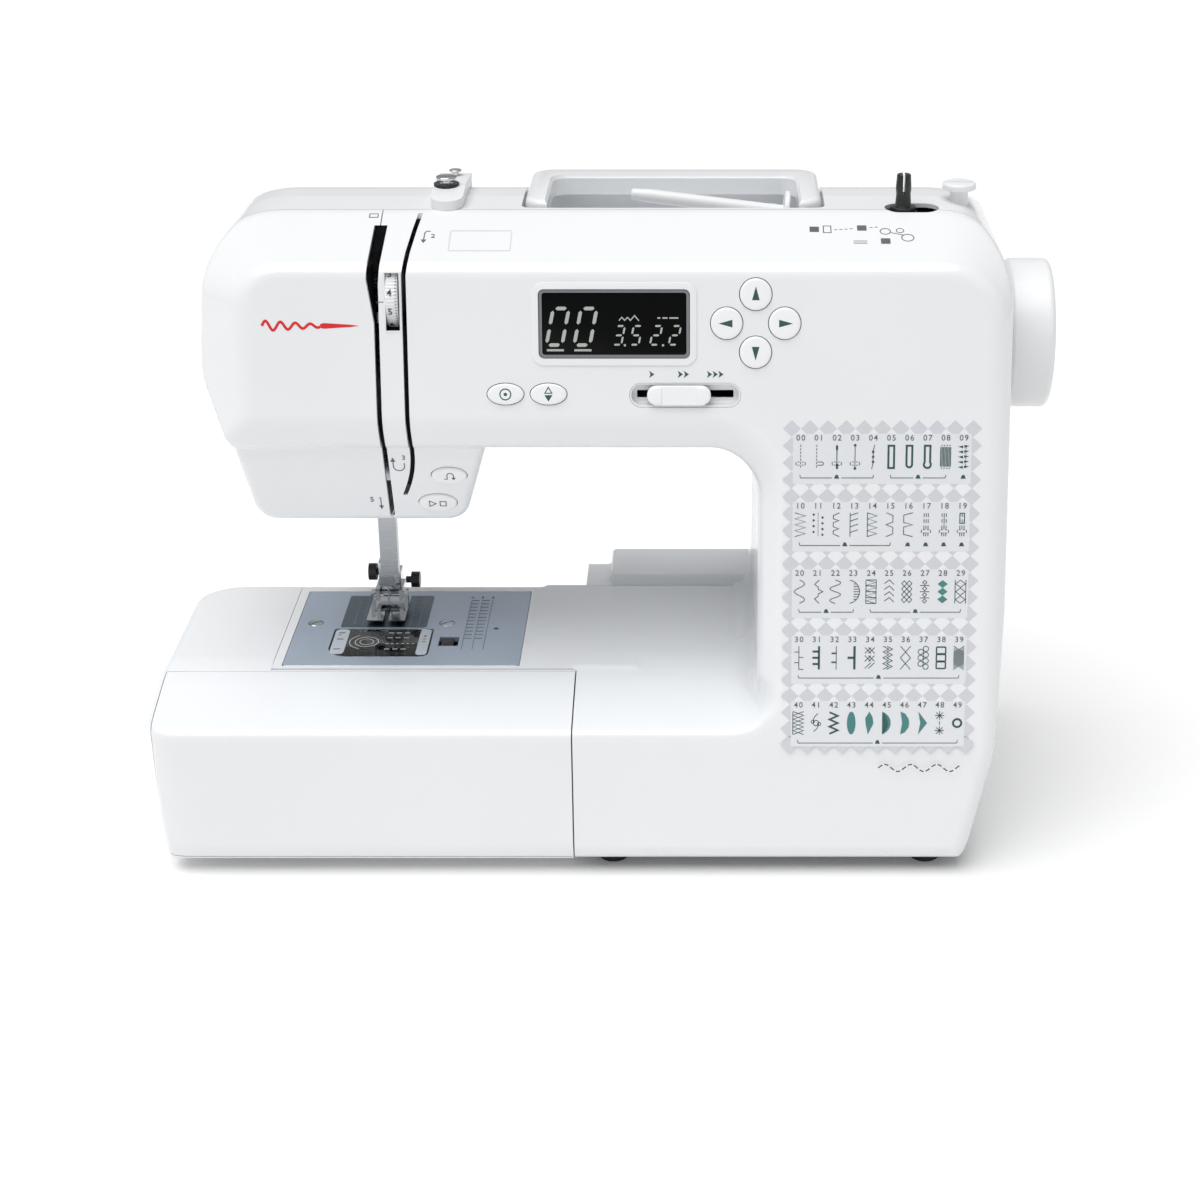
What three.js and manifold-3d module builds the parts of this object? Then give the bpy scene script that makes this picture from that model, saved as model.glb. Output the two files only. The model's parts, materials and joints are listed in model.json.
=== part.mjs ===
// A computerised household sewing machine: C-shaped plastic body on a free arm, with an
// extension table, a fold-down handle, the drive train and the sewing mechanism as separate pieces.
// Millimetres; +X to the handwheel, +Y to the back, +Z up; origin on the table top, in the middle.
import * as THREE from "three";
import { mergeVertices } from "three/addons/utils/BufferGeometryUtils.js";
import Module from "manifold-3d";

const wasm = await Module();
wasm.setup();

// ---- Driving dimensions ----
const length = 402; // outside, from the extension table to the handwheel
const depth = 178; // outside, at the base
const bed = 80; // height of the sewing surface
const throatHeight = 110; // bed to the underside of the arm
const armHeight = 96; // underside of the arm to its top
const headGap = 69.5; // bed to the underside of the head
const pillarWidth = 107.7; // inner wall to outer wall
const headInset = 31; // table's left end to the head's left end
const tableLength = 189; // extension table along X
const handwheelStandout = 24; // body's right wall to the wheel's outer face
const wall = 2.5; // plastic covers
const gap = 0.3; // between pieces that touch
const footHeight = 5;

// Panel and profile
const panelRun = 36; // how far the front panel leans back over panelRise
const panelRise = 199;
const topSlope = 17; // height of the sloping strip above the panel
const noseDrop = 10; // bed's front edge is this much below the bed
const headChamfer = 14; // height of the chamfer under the arm
const lowerHeadRun = 16; // how far the lower head's face leans back
const headTaper = 13; // the lower head's right wall leans in by this much
const rearArm = 14; // the arm's back stands this far in front of the base's back

// Stations along X
const left = -length / 2;
const right = length / 2;
const front = -depth / 2;
const back = depth / 2;
const bodyRight = right - handwheelStandout;
const pillarInner = bodyRight - pillarWidth;
const tableRight = left + tableLength;
const headLeft = left + headInset;
const armLeft = left + 51; // free arm's left end
const needleX = left + 97;
const needleY = 22.3;
const headRight = needleX + 56.6;
const slotX = needleX + 12; // left threading slot, between face cover and centre strip
const slotX2 = needleX + 24.3; // right threading slot
const seamY = -10; // front and rear covers meet here

// Heights
const armBottom = bed + throatHeight;
const top = armBottom + armHeight;
const headBottom = bed + headGap;
const shaftZ = armBottom + 29.5; // upper shaft and handwheel
const shaftY = 20;

// Mechanism
const shaftR = 5;
const barR = 3.1; // needle bar
const presserR = 3.5;
const presserY = needleY + 14;
const running = 0.3; // clearance of bars and shafts in their guides
const hookY = needleY - 19.3;
const hookR = 18.2;
const hookGearR = 6.25;
const lowerGearR = 2 * hookGearR;
const lowerShaftR = 4;
const lowerShaftZ = bed - 34;
const lowerShaftY = hookY + hookGearR + lowerGearR + gap * 3;
const drivePulleyR = 28;
const motorPulleyR = 4;
const timingPulleyR = 12;
const beltThickness = 1.6;
const motorY = -35;
const motorZ = bed + 32;
const motorR = 21;
const motorX = bodyRight - 82;
const beltX = bodyRight - 27;
const timingX = bodyRight - 72;

const tilt = Math.atan2(panelRun, panelRise);
const panelY = (z) => front + 3 + ((z - (bed - noseDrop)) * panelRun) / panelRise;
const headTilt = Math.atan2(lowerHeadRun, armBottom - headBottom);
const chamferY = panelY(armBottom + headChamfer) + 9.8; // chamfer's back edge at the arm's underside
const lowerHeadY = (z) => chamferY + ((armBottom - z) * lowerHeadRun) / (armBottom - headBottom);

const armFront = chamferY + 11.4; // free arm
const armBack = 55;

// ---- Materials ----
const paint = (color, roughness, metalness = 0) =>
  new THREE.MeshStandardMaterial({ color, roughness, metalness });
const white = paint(0xf0f1f2, 0.3);
const softWhite = paint(0xe6e7e8, 0.4);
const darkGrey = paint(0x3a3c3f, 0.5);
const black = paint(0x17181a, 0.45);
const rubber = paint(0x202122, 0.9);
const steel = paint(0xb9bcc0, 0.3, 1);
const chrome = paint(0xd8dadc, 0.12, 1);
const alloy = paint(0xa7abb0, 0.5, 1);
const copper = paint(0x6d7276, 0.5, 1);
const clear = paint(0xcfd6da, 0.1);
const glass = paint(0x202427, 0.08);
const board = paint(0x2f6b46, 0.6);

// ---- Solids ----
const eX = new THREE.Vector3(1, 0, 0);
const eY = new THREE.Vector3(0, 1, 0);
const eZ = new THREE.Vector3(0, 0, 1);
const minusY = new THREE.Vector3(0, -1, 0);

function solid(geometry) {
  const bare = geometry.clone();
  bare.deleteAttribute("normal");
  bare.deleteAttribute("uv");
  const merged = mergeVertices(bare, 1e-4);
  return new wasm.Manifold(
    new wasm.Mesh({
      numProp: 3,
      vertProperties: merged.attributes.position.array,
      triVerts: new Uint32Array(merged.index.array),
    }),
  );
}

function geometryOf(manifold) {
  const mesh = manifold.getMesh();
  const geometry = new THREE.BufferGeometry();
  geometry.setAttribute("position", new THREE.BufferAttribute(new Float32Array(mesh.vertProperties), 3));
  geometry.setIndex(new THREE.BufferAttribute(new Uint32Array(mesh.triVerts), 1));
  geometry.computeVertexNormals();
  return geometry;
}

const join = (...parts) => parts.reduce((a, b) => a.add(b));
const cut = (body, ...tools) => tools.reduce((a, b) => a.subtract(b), body);

function box(x0, x1, y0, y1, z0, z1) {
  const geometry = new THREE.BoxGeometry(x1 - x0, y1 - y0, z1 - z0);
  return solid(geometry.translate((x0 + x1) / 2, (y0 + y1) / 2, (z0 + z1) / 2));
}

// An outline extruded along one axis from a to b: "x" takes (y, z), "y" takes (x, z), "z" takes (x, y).
function prism(axis, outline, a, b) {
  const shape = new THREE.Shape(outline.map(([u, v]) => new THREE.Vector2(u, v)));
  const geometry = new THREE.ExtrudeGeometry(shape, { depth: b - a, bevelEnabled: false });
  const basis = new THREE.Matrix4();
  if (axis === "x") basis.makeBasis(eY, eZ, eX).setPosition(a, 0, 0);
  if (axis === "y") basis.makeBasis(eX, eZ, minusY).setPosition(0, b, 0);
  if (axis === "z") basis.setPosition(0, 0, a);
  return solid(geometry.applyMatrix4(basis));
}

// A rod between a and b along an axis; the centre is given in the other two axes, in X, Y, Z order.
function rod(axis, radius, a, b, [u, v], sides = 20, radiusB = radius) {
  const geometry = new THREE.CylinderGeometry(radiusB, radius, b - a, sides);
  const middle = (a + b) / 2;
  if (axis === "x") geometry.rotateZ(-Math.PI / 2).translate(middle, u, v);
  if (axis === "y") geometry.translate(u, middle, v);
  if (axis === "z") geometry.rotateX(Math.PI / 2).translate(u, v, middle);
  return solid(geometry);
}

// Moves each edge of an outline inwards by d; the outline runs anticlockwise.
function inset(outline, d) {
  const n = outline.length;
  return outline.map((p, i) => {
    const a = outline[(i + n - 1) % n];
    const b = outline[(i + 1) % n];
    const u = new THREE.Vector2(p[0] - a[0], p[1] - a[1]).normalize();
    const v = new THREE.Vector2(b[0] - p[0], b[1] - p[1]).normalize();
    const k = d / (1 + u.dot(v));
    return [p[0] + k * (-u.y - v.y), p[1] + k * (u.x + v.x)];
  });
}

// Rounds each corner of an outline given as [u, v, radius].
function rounded(corners, less = 0) {
  const n = corners.length;
  const plain = inset(corners, less);
  const points = [];
  plain.forEach((p, i) => {
    const radius = Math.max((corners[i][2] || 0) - less, 0);
    if (radius < 0.5) {
      points.push(p);
      return;
    }
    const at = new THREE.Vector2(...p);
    const u = new THREE.Vector2(...plain[(i + n - 1) % n]).sub(at);
    const v = new THREE.Vector2(...plain[(i + 1) % n]).sub(at);
    const half = Math.acos(u.clone().normalize().dot(v.clone().normalize())) / 2;
    const reach = Math.min(radius / Math.tan(half), u.length() * 0.48, v.length() * 0.48);
    const start = at.clone().add(u.normalize().multiplyScalar(reach));
    const end = at.clone().add(v.normalize().multiplyScalar(reach));
    const bend = new THREE.QuadraticBezierCurve(start, at, end);
    bend.getPoints(radius > 15 ? 5 : 3).forEach((q) => points.push([q.x, q.y]));
  });
  return points;
}

// ---- Body envelope, drawn at the outside and again one wall inside it ----
const bodyOutline = [
  [tableRight + gap, footHeight],
  [bodyRight - 3, footHeight, 8],
  [bodyRight, bed - 20],
  [bodyRight, top + 1, 30],
  [headLeft + 4, top + 1, 48],
  [headLeft, armBottom + 30],
  [headLeft + 13, armBottom],
  [pillarInner, armBottom, 20],
  [pillarInner, bed, 12],
  [tableRight + gap, bed],
];
const sideOutline = [
  [front + 2, footHeight],
  [back - 2, footHeight],
  [back, 14],
  [back, bed - 20],
  [back - rearArm, top - 31],
  [back - 27, top - 14],
  [30, top - 1],
  [12, top],
  [-13, top - 2],
  [panelY(top - topSlope), top - topSlope],
  [front + 3, bed - noseDrop],
  [front, 14],
];
const headOutline = [
  [headLeft + 20, headBottom, 9],
  [headRight - headTaper, headBottom, 9],
  [headRight, armBottom + 2],
  [headRight, armBottom + 35],
  [headLeft + 13, armBottom + 35],
  [headLeft + 13, armBottom],
];
const headBack = back - rearArm - 17;
const headSide = [
  [lowerHeadY(headBottom), headBottom],
  [headBack, headBottom],
  [headBack, armBottom + 35],
  [chamferY, armBottom + 35],
  [chamferY, armBottom],
];

function envelope(less) {
  const deep = less > 0 ? 40 : 0; // the cavity runs out through the open bottom
  const outline = rounded(bodyOutline, less);
  const side = inset(sideOutline, less);
  let body = prism("y", outline, front - 5, back + 5).intersect(prism("x", side, left, right));
  if (deep > 0) {
    const below = footHeight + less + 1;
    body = body.add(box(tableRight + gap + less, bodyRight - 9, front + 5, back - 5, -deep, below));
  }
  const slope = [
    [front - 6, bed - noseDrop - less - 1.4],
    [armFront, bed - less],
    [armFront, bed + 30],
    [front - 6, bed + 30],
  ];
  body = body.subtract(prism("x", slope, tableRight - 5, pillarInner + less));
  const k = headChamfer / (chamferY - panelY(armBottom + headChamfer));
  const chamfer = [
    [chamferY + 2 + less, armBottom - 2 * k],
    [chamferY + less - 30, armBottom + 30 * k],
    [front - 10, armBottom + 30 * k],
    [front - 10, armBottom - 2 * k],
  ];
  body = body.subtract(prism("x", chamfer, left, pillarInner + less));
  const head = prism("y", rounded(headOutline, less), front, back).intersect(
    prism("x", inset(headSide, less), left, right),
  );
  return body.add(head);
}

const outer = envelope(0);
const inner = envelope(wall);
const stepBlock = box(tableRight + 12, pillarInner + 10, back - 34, back - 1, bed - 4, bed + 6.7);
const stepRoom = box(tableRight + 14.5, pillarInner + 12, back - 31.5, back - 3.5, bed - 5, bed + 4.2);
const shell = cut(outer.add(stepBlock), inner, stepRoom);

// Where the front, face and rear covers meet
const everywhere = 400;
const bedSeamY = armBack - 1;
const bedRegion = (g) => box(-everywhere, pillarInner - 1 - g, -everywhere, bedSeamY - g, -50, bed + 20);
const faceRegion = (g) => box(-everywhere, slotX - g, -everywhere, seamY - g, headBottom - 5, everywhere);
const frontRegion = (g) =>
  box(-everywhere, everywhere, -everywhere, seamY - g, -50, everywhere).add(bedRegion(g));

// ---- Openings in the covers ----
const glassWidth = 66;
const glassHeight = 31;
const lcdX = pillarInner - 61;
const lcdZ = armBottom + 56;
const keyR = 6.7;
const keySpace = 1.85; // between the keys' retaining flanges
const keyStep = (2 * (keyR + 1) + keySpace) / Math.SQRT2;
const keysX = pillarInner - 1.5;
const keysDrop = 2.8; // between the panel's top edge and the upper key's flange
const keysZ = top - topSlope - keysDrop - keyStep - keyR - 1;
const ovalX = 15.4;
const ovalZ = 9;
const smallZ = armBottom + 26.8; // lock and needle-position buttons
const lockX = headRight + 9.5;
const positionX = lockX + 18.2;
const speedX = pillarInner - 31.2;
const speedZ = armBottom + 26.3;
const speedSlot = 42;
const speedKnob = 27;
const reverseZ = headBottom + 25.8;
const reverseEdge = (headTaper * (reverseZ - headBottom)) / (armBottom + 2 - headBottom);
const reverseX = headRight - headTaper + reverseEdge - 12.3;
const startX = needleX + 33.1;
const startZ = headBottom + 11;

// A frame on the front panel: local Y runs into the body, local Z up the panel.
function panelFrame(x, z) {
  const group = new THREE.Group();
  group.position.set(x, panelY(z), z);
  group.rotation.x = -tilt;
  return group;
}
function headFrame(x, z) {
  const group = new THREE.Group();
  group.position.set(x, lowerHeadY(z), z);
  group.rotation.x = headTilt;
  return group;
}
function placed(manifold, group) {
  group.updateMatrix();
  return solid(geometryOf(manifold).applyMatrix4(group.matrix));
}
function oval(width, height, y0, y1, sides = 20) {
  const outline = [];
  for (let i = 0; i < sides; i += 1) {
    const a = (2 * Math.PI * i) / sides;
    outline.push([(Math.cos(a) * width) / 2, (Math.sin(a) * height) / 2]);
  }
  return prism("y", outline, y0, y1);
}

const throughWall = [-4, 12];
const buttons = [
  ["key_up", panelFrame(keysX, keysZ + keyStep * Math.cos(tilt)), 2 * keyR, 2 * keyR],
  ["key_down", panelFrame(keysX, keysZ - keyStep * Math.cos(tilt)), 2 * keyR, 2 * keyR],
  ["key_left", panelFrame(keysX - keyStep, keysZ), 2 * keyR, 2 * keyR],
  ["key_right", panelFrame(keysX + keyStep, keysZ), 2 * keyR, 2 * keyR],
  ["lock_button", panelFrame(lockX, smallZ), ovalX, ovalZ],
  ["needle_position_button", panelFrame(positionX, smallZ), ovalX, ovalZ],
  ["reverse_button", headFrame(reverseX, reverseZ), ovalX, ovalZ],
  ["start_stop_button", headFrame(startX, startZ), ovalX + 1.2, ovalZ + 0.6],
];
const buttonHoles = buttons.map(([, frame, w, h]) =>
  placed(oval(w + 2 * gap, h + 2 * gap, ...throughWall), frame),
);
const lcdFrame = panelFrame(lcdX, lcdZ);
const speedFrame = panelFrame(speedX, speedZ);
const lcdHole = placed(
  box(-glassWidth / 2, glassWidth / 2, -4, 8, -glassHeight / 2, glassHeight / 2),
  lcdFrame,
);
const speedHole = placed(box(-speedSlot / 2, speedSlot / 2, -4, 8, -1.6, 1.6), speedFrame);

const slotTop = top - 6;
const leftSlot = [
  [slotX - 3, top - 24],
  [slotX - 0.6, top - 48],
  [slotX - 0.6, headBottom + 4],
  [slotX + 2.4, headBottom + 4],
  [slotX + 2.4, top - 24],
  [slotX + 2.4, slotTop],
  [slotX - 3, slotTop],
];
const rightSlot = [
  [slotX2 - 6.4, headBottom + 16],
  [slotX2 - 4, headBottom + 16],
  [slotX2 - 0.4, headBottom + 25],
  [slotX2 + 1, headBottom + 34],
  [slotX2 + 1, slotTop + 1],
  [slotX2 - 1.4, slotTop + 1],
  [slotX2 - 1.4, headBottom + 32],
];
const slots = join(
  prism("y", leftSlot, front, seamY - 8),
  prism("y", rightSlot, front, seamY - 4),
);
const dialX = slotX2 - 2.1 - 3.2;
const dialR = 14;
const dialHalf = 2.6;
const dialZ = top - 31;
const dialY = panelY(dialZ) + dialR - 1.5;
const dialWindow = box(dialX - dialHalf - gap, slotX2 - 0.2, front, -30, dialZ - 11.8, dialZ + 11.8);

const winderX = bodyRight - 45;
const winderY = -7;
const winderSlot = box(winderX - 7, winderX + 15, winderY - 6, winderY + 6, top - 12, top + 5);
const switchZ = bed + 33.5;
const socketZ = bed + 3.5;
const sideY = 6; // power switch and inlet socket
const switchHole = box(bodyRight - 8, bodyRight + 5, sideY - 7, sideY + 7, switchZ - 10, switchZ + 10);
const socketHole = box(bodyRight - 8, bodyRight + 5, sideY - 13, sideY + 13, socketZ - 9.5, socketZ + 9.5);
const shaftHole = rod("x", shaftR + 3, bodyRight - 8, bodyRight + 5, [shaftY, shaftZ]);
const wheelR = 33.5;
const barHole = box(needleX - 13, needleX + 9, 8, presserY + 8, headBottom - 5, headBottom + 8);
const armPassage = join(
  box(tableRight - 5, tableRight + 9, armFront + 6.6, armBack - 5, bed - 47, bed - 5),
  box(tableRight - 5, tableRight + 9, armFront + 3.1, armBack - 4.5, 0, footHeight + 4),
);
const lifterX = needleX + 9.5;
const lifterSlot = box(lifterX - 1, lifterX + 9, headBack - 8, headBack + 5, headBottom - 5, headBottom + 38);
const leverX = needleX - 17;
const leverHole = box(leverX - 3, leverX + 3, -5, 5, headBottom - 5, headBottom + 8);

// ---- Top well, handle and spool pin ----
const wellLeft = needleX + 71;
const wellRight = pillarInner + 29;
const wellFloor = top - 24;
const wellBack = 59;
const wellBlock = outer.intersect(
  box(wellLeft - wall, wellRight + wall, seamY + gap / 2, wellBack + wall, wellFloor - wall, top + 9),
);
const pinY = 15;
const pinPivotX = wellRight - 23.3;
const pinPivotZ = wellFloor + 12;
const pinLugs = [-1, 1].map((side) => {
  const y = pinY + side * 6.8;
  return box(pinPivotX - 3, pinPivotX + 3, y - 1.4, y + 1.4, wellFloor - 1, pinPivotZ + 4);
});
const wellRoom = box(wellLeft, wellRight, seamY + gap / 2 + wall, wellBack, wellFloor, top + 9);

const root = new THREE.Group();
function piece(name, body, material, parent = root) {
  const mesh = new THREE.Mesh(geometryOf(body), material);
  mesh.name = name;
  parent.add(mesh);
  return mesh;
}

// ---- Covers ----
function covers() {
  const cuts = [...buttonHoles, lcdHole, speedHole, slots, dialWindow, winderSlot, armPassage];
  const facePart = shell.intersect(faceRegion(gap / 2));
  piece("face_cover", cut(facePart, slots), white);
  const frontPart = cut(shell.intersect(frontRegion(gap / 2)), faceRegion(-gap / 2));
  piece("front_cover", cut(frontPart, ...cuts), white);
  const rearPart = cut(shell, frontRegion(-gap / 2));
  const rear = cut(
    rearPart.add(wellBlock),
    wellRoom,
    winderSlot,
    switchHole,
    socketHole,
    shaftHole,
    barHole,
    lifterSlot,
    leverHole,
    armPassage,
  );
  piece("rear_cover", join(rear, ...pinLugs), white);
}

function basePlate() {
  const plan = rounded([
    [tableRight + gap + wall + gap, front + 8, 8],
    [bodyRight - 14, front + 8, 12],
    [bodyRight - 14, back - 8, 12],
    [tableRight + gap + wall + gap, back - 8, 8],
  ]);
  const plate = prism("z", plan, footHeight + 0.6, footHeight + 3.6);
  const toeFront = armFront + 3.6;
  const toeBack = armBack - 5;
  const toe = box(armLeft + 2, tableRight + 30, toeFront, toeBack, footHeight, footHeight + 3.6);
  const rib = box(armLeft + 2, tableRight - 1, toeFront, toeBack, footHeight, footHeight + 9);
  piece("base_plate", join(plate, toe, rib), softWhite);
}

const footR = 8;
const feet = [
  ["foot_front_right", bodyRight - 31, front + 19],
  ["foot_front_left", tableRight + 17, front + 19],
  ["foot_rear_right", bodyRight - 31, back - 19],
  ["foot_rear_left", armLeft + 18, 8],
];
function rubberFeet() {
  for (const [name, x, y] of feet) {
    const foot = rod("z", footR - 1, 0, footHeight - gap, [0, 0], 20, footR);
    piece(name, foot, rubber).position.set(x, y, 0);
  }
}

// ---- Free arm, needle plate and hook ----
const armFloor = bed - 50;
const plateLeft = armLeft + 4.3;
const plateRight = needleX + 66;
const plateFront = armFront + 2.6;
const plateBack = 47;
const plateThick = 2.5;
function freeArm() {
  const body = box(armLeft, tableRight, armFront, armBack, armFloor, bed);
  const roomTop = bed - wall;
  const room = box(armLeft + wall, tableRight + 5, armFront + wall, armBack - wall, armFloor + wall, roomTop);
  const seat = box(plateLeft - gap, plateRight + gap, plateFront - gap, plateBack + gap, bed - 9, bed + 5);
  const lever = box(dropX - 4, dropX + 18, armBack - 8, armBack + 5, dropZ - 3, dropZ + 3);
  piece("free_arm_cover", cut(body, room, seat, lever), white);
}

const coverLeft = needleX - 23;
const coverRight = needleX + 23;
const coverFront = hookY - 31;
const coverBack = hookY - 0.4;
const releaseX = needleX + 31.5;
const releaseY = -11.5;
const dogOffset = 5.5;
const dogHalf = 1.4;
const dogFront = hookY + 11.6;
const dogBack = dogFront + 22;
const dogRise = 0.8;
function needlePlate() {
  const plate = box(plateLeft, plateRight, plateFront, plateBack, bed - plateThick, bed);
  const opening = box(coverLeft - gap, coverRight + gap, coverFront - gap, coverBack + gap, bed - 5, bed + 5);
  const release = box(releaseX - 4.6, releaseX + 4.6, releaseY - 5, releaseY + 5, bed - 5, bed + 5);
  const needleSlot = box(needleX - 3.5, needleX + 3.5, needleY - 1.4, needleY + 1.4, bed - 5, bed + 5);
  const dogSlots = [-1, 1].map((side) => {
    const x = needleX + side * dogOffset;
    return box(x - dogHalf - 0.5, x + dogHalf + 0.5, dogFront - 1.5, dogBack + 1.5, bed - 5, bed + 5);
  });
  piece("needle_plate", cut(plate, opening, release, needleSlot, ...dogSlots), steel);
  const clearPlate = prism(
    "z",
    rounded([
      [coverLeft, coverFront, 10],
      [coverRight, coverFront, 4],
      [coverRight, coverBack, 1],
      [coverLeft, coverBack, 1],
    ]),
    bed - plateThick,
    bed,
  );
  piece("bobbin_cover_plate", clearPlate, clear);
  const button = join(
    box(releaseX - 3.6, releaseX + 2.2, releaseY - 4.4, releaseY + 4.4, bed - 4, bed - 0.4),
    box(releaseX - 6, releaseX + 4, releaseY - 7, releaseY + 7, bed - 5.5, bed - plateThick - gap),
  );
  piece("hook_cover_release", button, black);
}

const dropX = needleX + 46;
const dropZ = bed - 20;
function feedDog() {
  const z0 = bed - 6;
  const bars = [-1, 1].map((side) => {
    const x = needleX + side * dogOffset;
    const teeth = [[dogFront, z0], [dogBack, z0], [dogBack, bed + 0.3]];
    const steps = 8;
    for (let i = 0; i < steps; i += 1) {
      const y = dogBack - ((dogBack - dogFront) * (i + 0.5)) / steps;
      teeth.push([y, bed + dogRise]);
      teeth.push([y - (dogBack - dogFront) / steps / 2, bed + 0.1]);
    }
    teeth.pop();
    teeth.push([dogFront, bed + 0.1]);
    return prism("x", teeth, x - dogHalf, x + dogHalf);
  });
  const carrier = box(needleX - 8, needleX + 8, needleY + 3, needleY + 17, bed - 9, z0 + 0.5);
  piece("feed_dog", join(carrier, ...bars), steel);
  const lever = join(
    box(dropX - 3, dropX + 3, armBack - wall - gap - 2.4, armBack + 5, dropZ - 2.4, dropZ + 2.4),
    box(dropX - 6, dropX + 6, armBack - wall - gap - 2.4, armBack - wall - gap, dropZ - 6, dropZ + 6),
  );
  piece("drop_feed_lever", lever, darkGrey);
}

const hookTop = bed - 10;
const hookFloor = bed - 21;
const bobbinR = 10.25;
const bobbinHeight = 11.4;
function hookAssembly() {
  const at = [needleX, hookY];
  const sides = 32;
  const race = cut(
    rod("z", hookR, hookFloor, hookTop, at, sides),
    rod("z", hookR - 2, hookFloor + 2, hookTop + 5, at, sides),
  );
  const rimX = needleX + hookR;
  const point = box(rimX - 2, rimX - 0.3, hookY, hookY + 5, hookTop - 0.5, hookTop + 1.2);
  const hookShaft = rod("z", 3, bed - 44, hookFloor + 1, at, 16);
  const gear = rod("z", hookGearR, lowerShaftZ - 5, lowerShaftZ + 5, at, 24);
  piece("rotary_hook", join(race, point, hookShaft, gear), chrome);
  const holderR = hookR - 2 - gap;
  const holderTop = bed - 9;
  const holder = cut(
    rod("z", holderR, hookFloor + 2 + gap, holderTop, at, sides),
    rod("z", bobbinR + 1.2, hookFloor + 3.8 + gap, holderTop + 5, at, sides),
  );
  piece("bobbin_holder", holder, black);
  const z0 = hookFloor + 3.8 + 2 * gap;
  const z1 = z0 + bobbinHeight;
  const spool = new THREE.LatheGeometry(
    [
      [3, z0],
      [bobbinR, z0],
      [bobbinR, z0 + 1],
      [4.5, z0 + 1],
      [4.5, z1 - 1],
      [bobbinR, z1 - 1],
      [bobbinR, z1],
      [3, z1],
      [3, z0],
    ].map(([r, z]) => new THREE.Vector2(r, z)),
    24,
  );
  spool.rotateX(Math.PI / 2).translate(needleX, hookY, 0);
  piece("bobbin", solid(spool), clear);
}

// ---- Needle bar, presser bar and thread take-up ----
const clampZ = bed + 21;
function needleBar() {
  const at = [needleX, needleY];
  const barTop = shaftZ + 16;
  const guardTop = headBottom + 12;
  const bar = join(
    rod("z", barR, clampZ + 6 + gap, barTop, at),
    box(needleX + 4.6, needleX + 6.2, needleY - 7, needleY - 1, clampZ - 3, guardTop),
    box(needleX - 2, needleX + 6.2, needleY - 7, needleY - 5.4, clampZ + 1, guardTop),
    box(needleX, needleX + 5, needleY - 1.8, needleY - 1.2, clampZ + 8, clampZ + 14),
    box(needleX - 1.5, needleX + 1.5, needleY - 6, needleY, clampZ + 8, clampZ + 14),
  );
  piece("needle_bar", bar, steel);
  const body = cut(
    box(needleX - 3.6, needleX + 4, needleY - 3.6, needleY + 3.6, clampZ - 6, clampZ + 6),
    rod("z", 1.3, clampZ - 9, clampZ + 4.5, at, 12),
  );
  piece("needle_clamp", body, alloy);
  const knob = join(
    rod("x", 4, needleX - 8.6, needleX - 4.8, [needleY, clampZ], 16),
    rod("x", 1.6, needleX - 4.9, needleX - 3.6 - gap, [needleY, clampZ], 12),
  );
  piece("needle_clamp_screw", knob, black);
  const tip = bed - 13;
  const blade = join(
    rod("z", 1, clampZ - 5, clampZ + 4, at, 12),
    rod("z", 0.45, tip + 4, clampZ - 4.9, at, 12),
    rod("z", 0.1, tip, tip + 4.1, at, 12, 0.45),
  );
  piece("needle", blade, chrome);
  const threader = join(
    box(needleX - 12, needleX - 9.6, needleY - 9.6, needleY + 2, headBottom - 8, headBottom + 30),
    box(needleX - 12, needleX + 3, needleY - 9.6, needleY - 7.4, headBottom - 8, headBottom - 4),
  );
  piece("needle_threader", threader, alloy);
}

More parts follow.
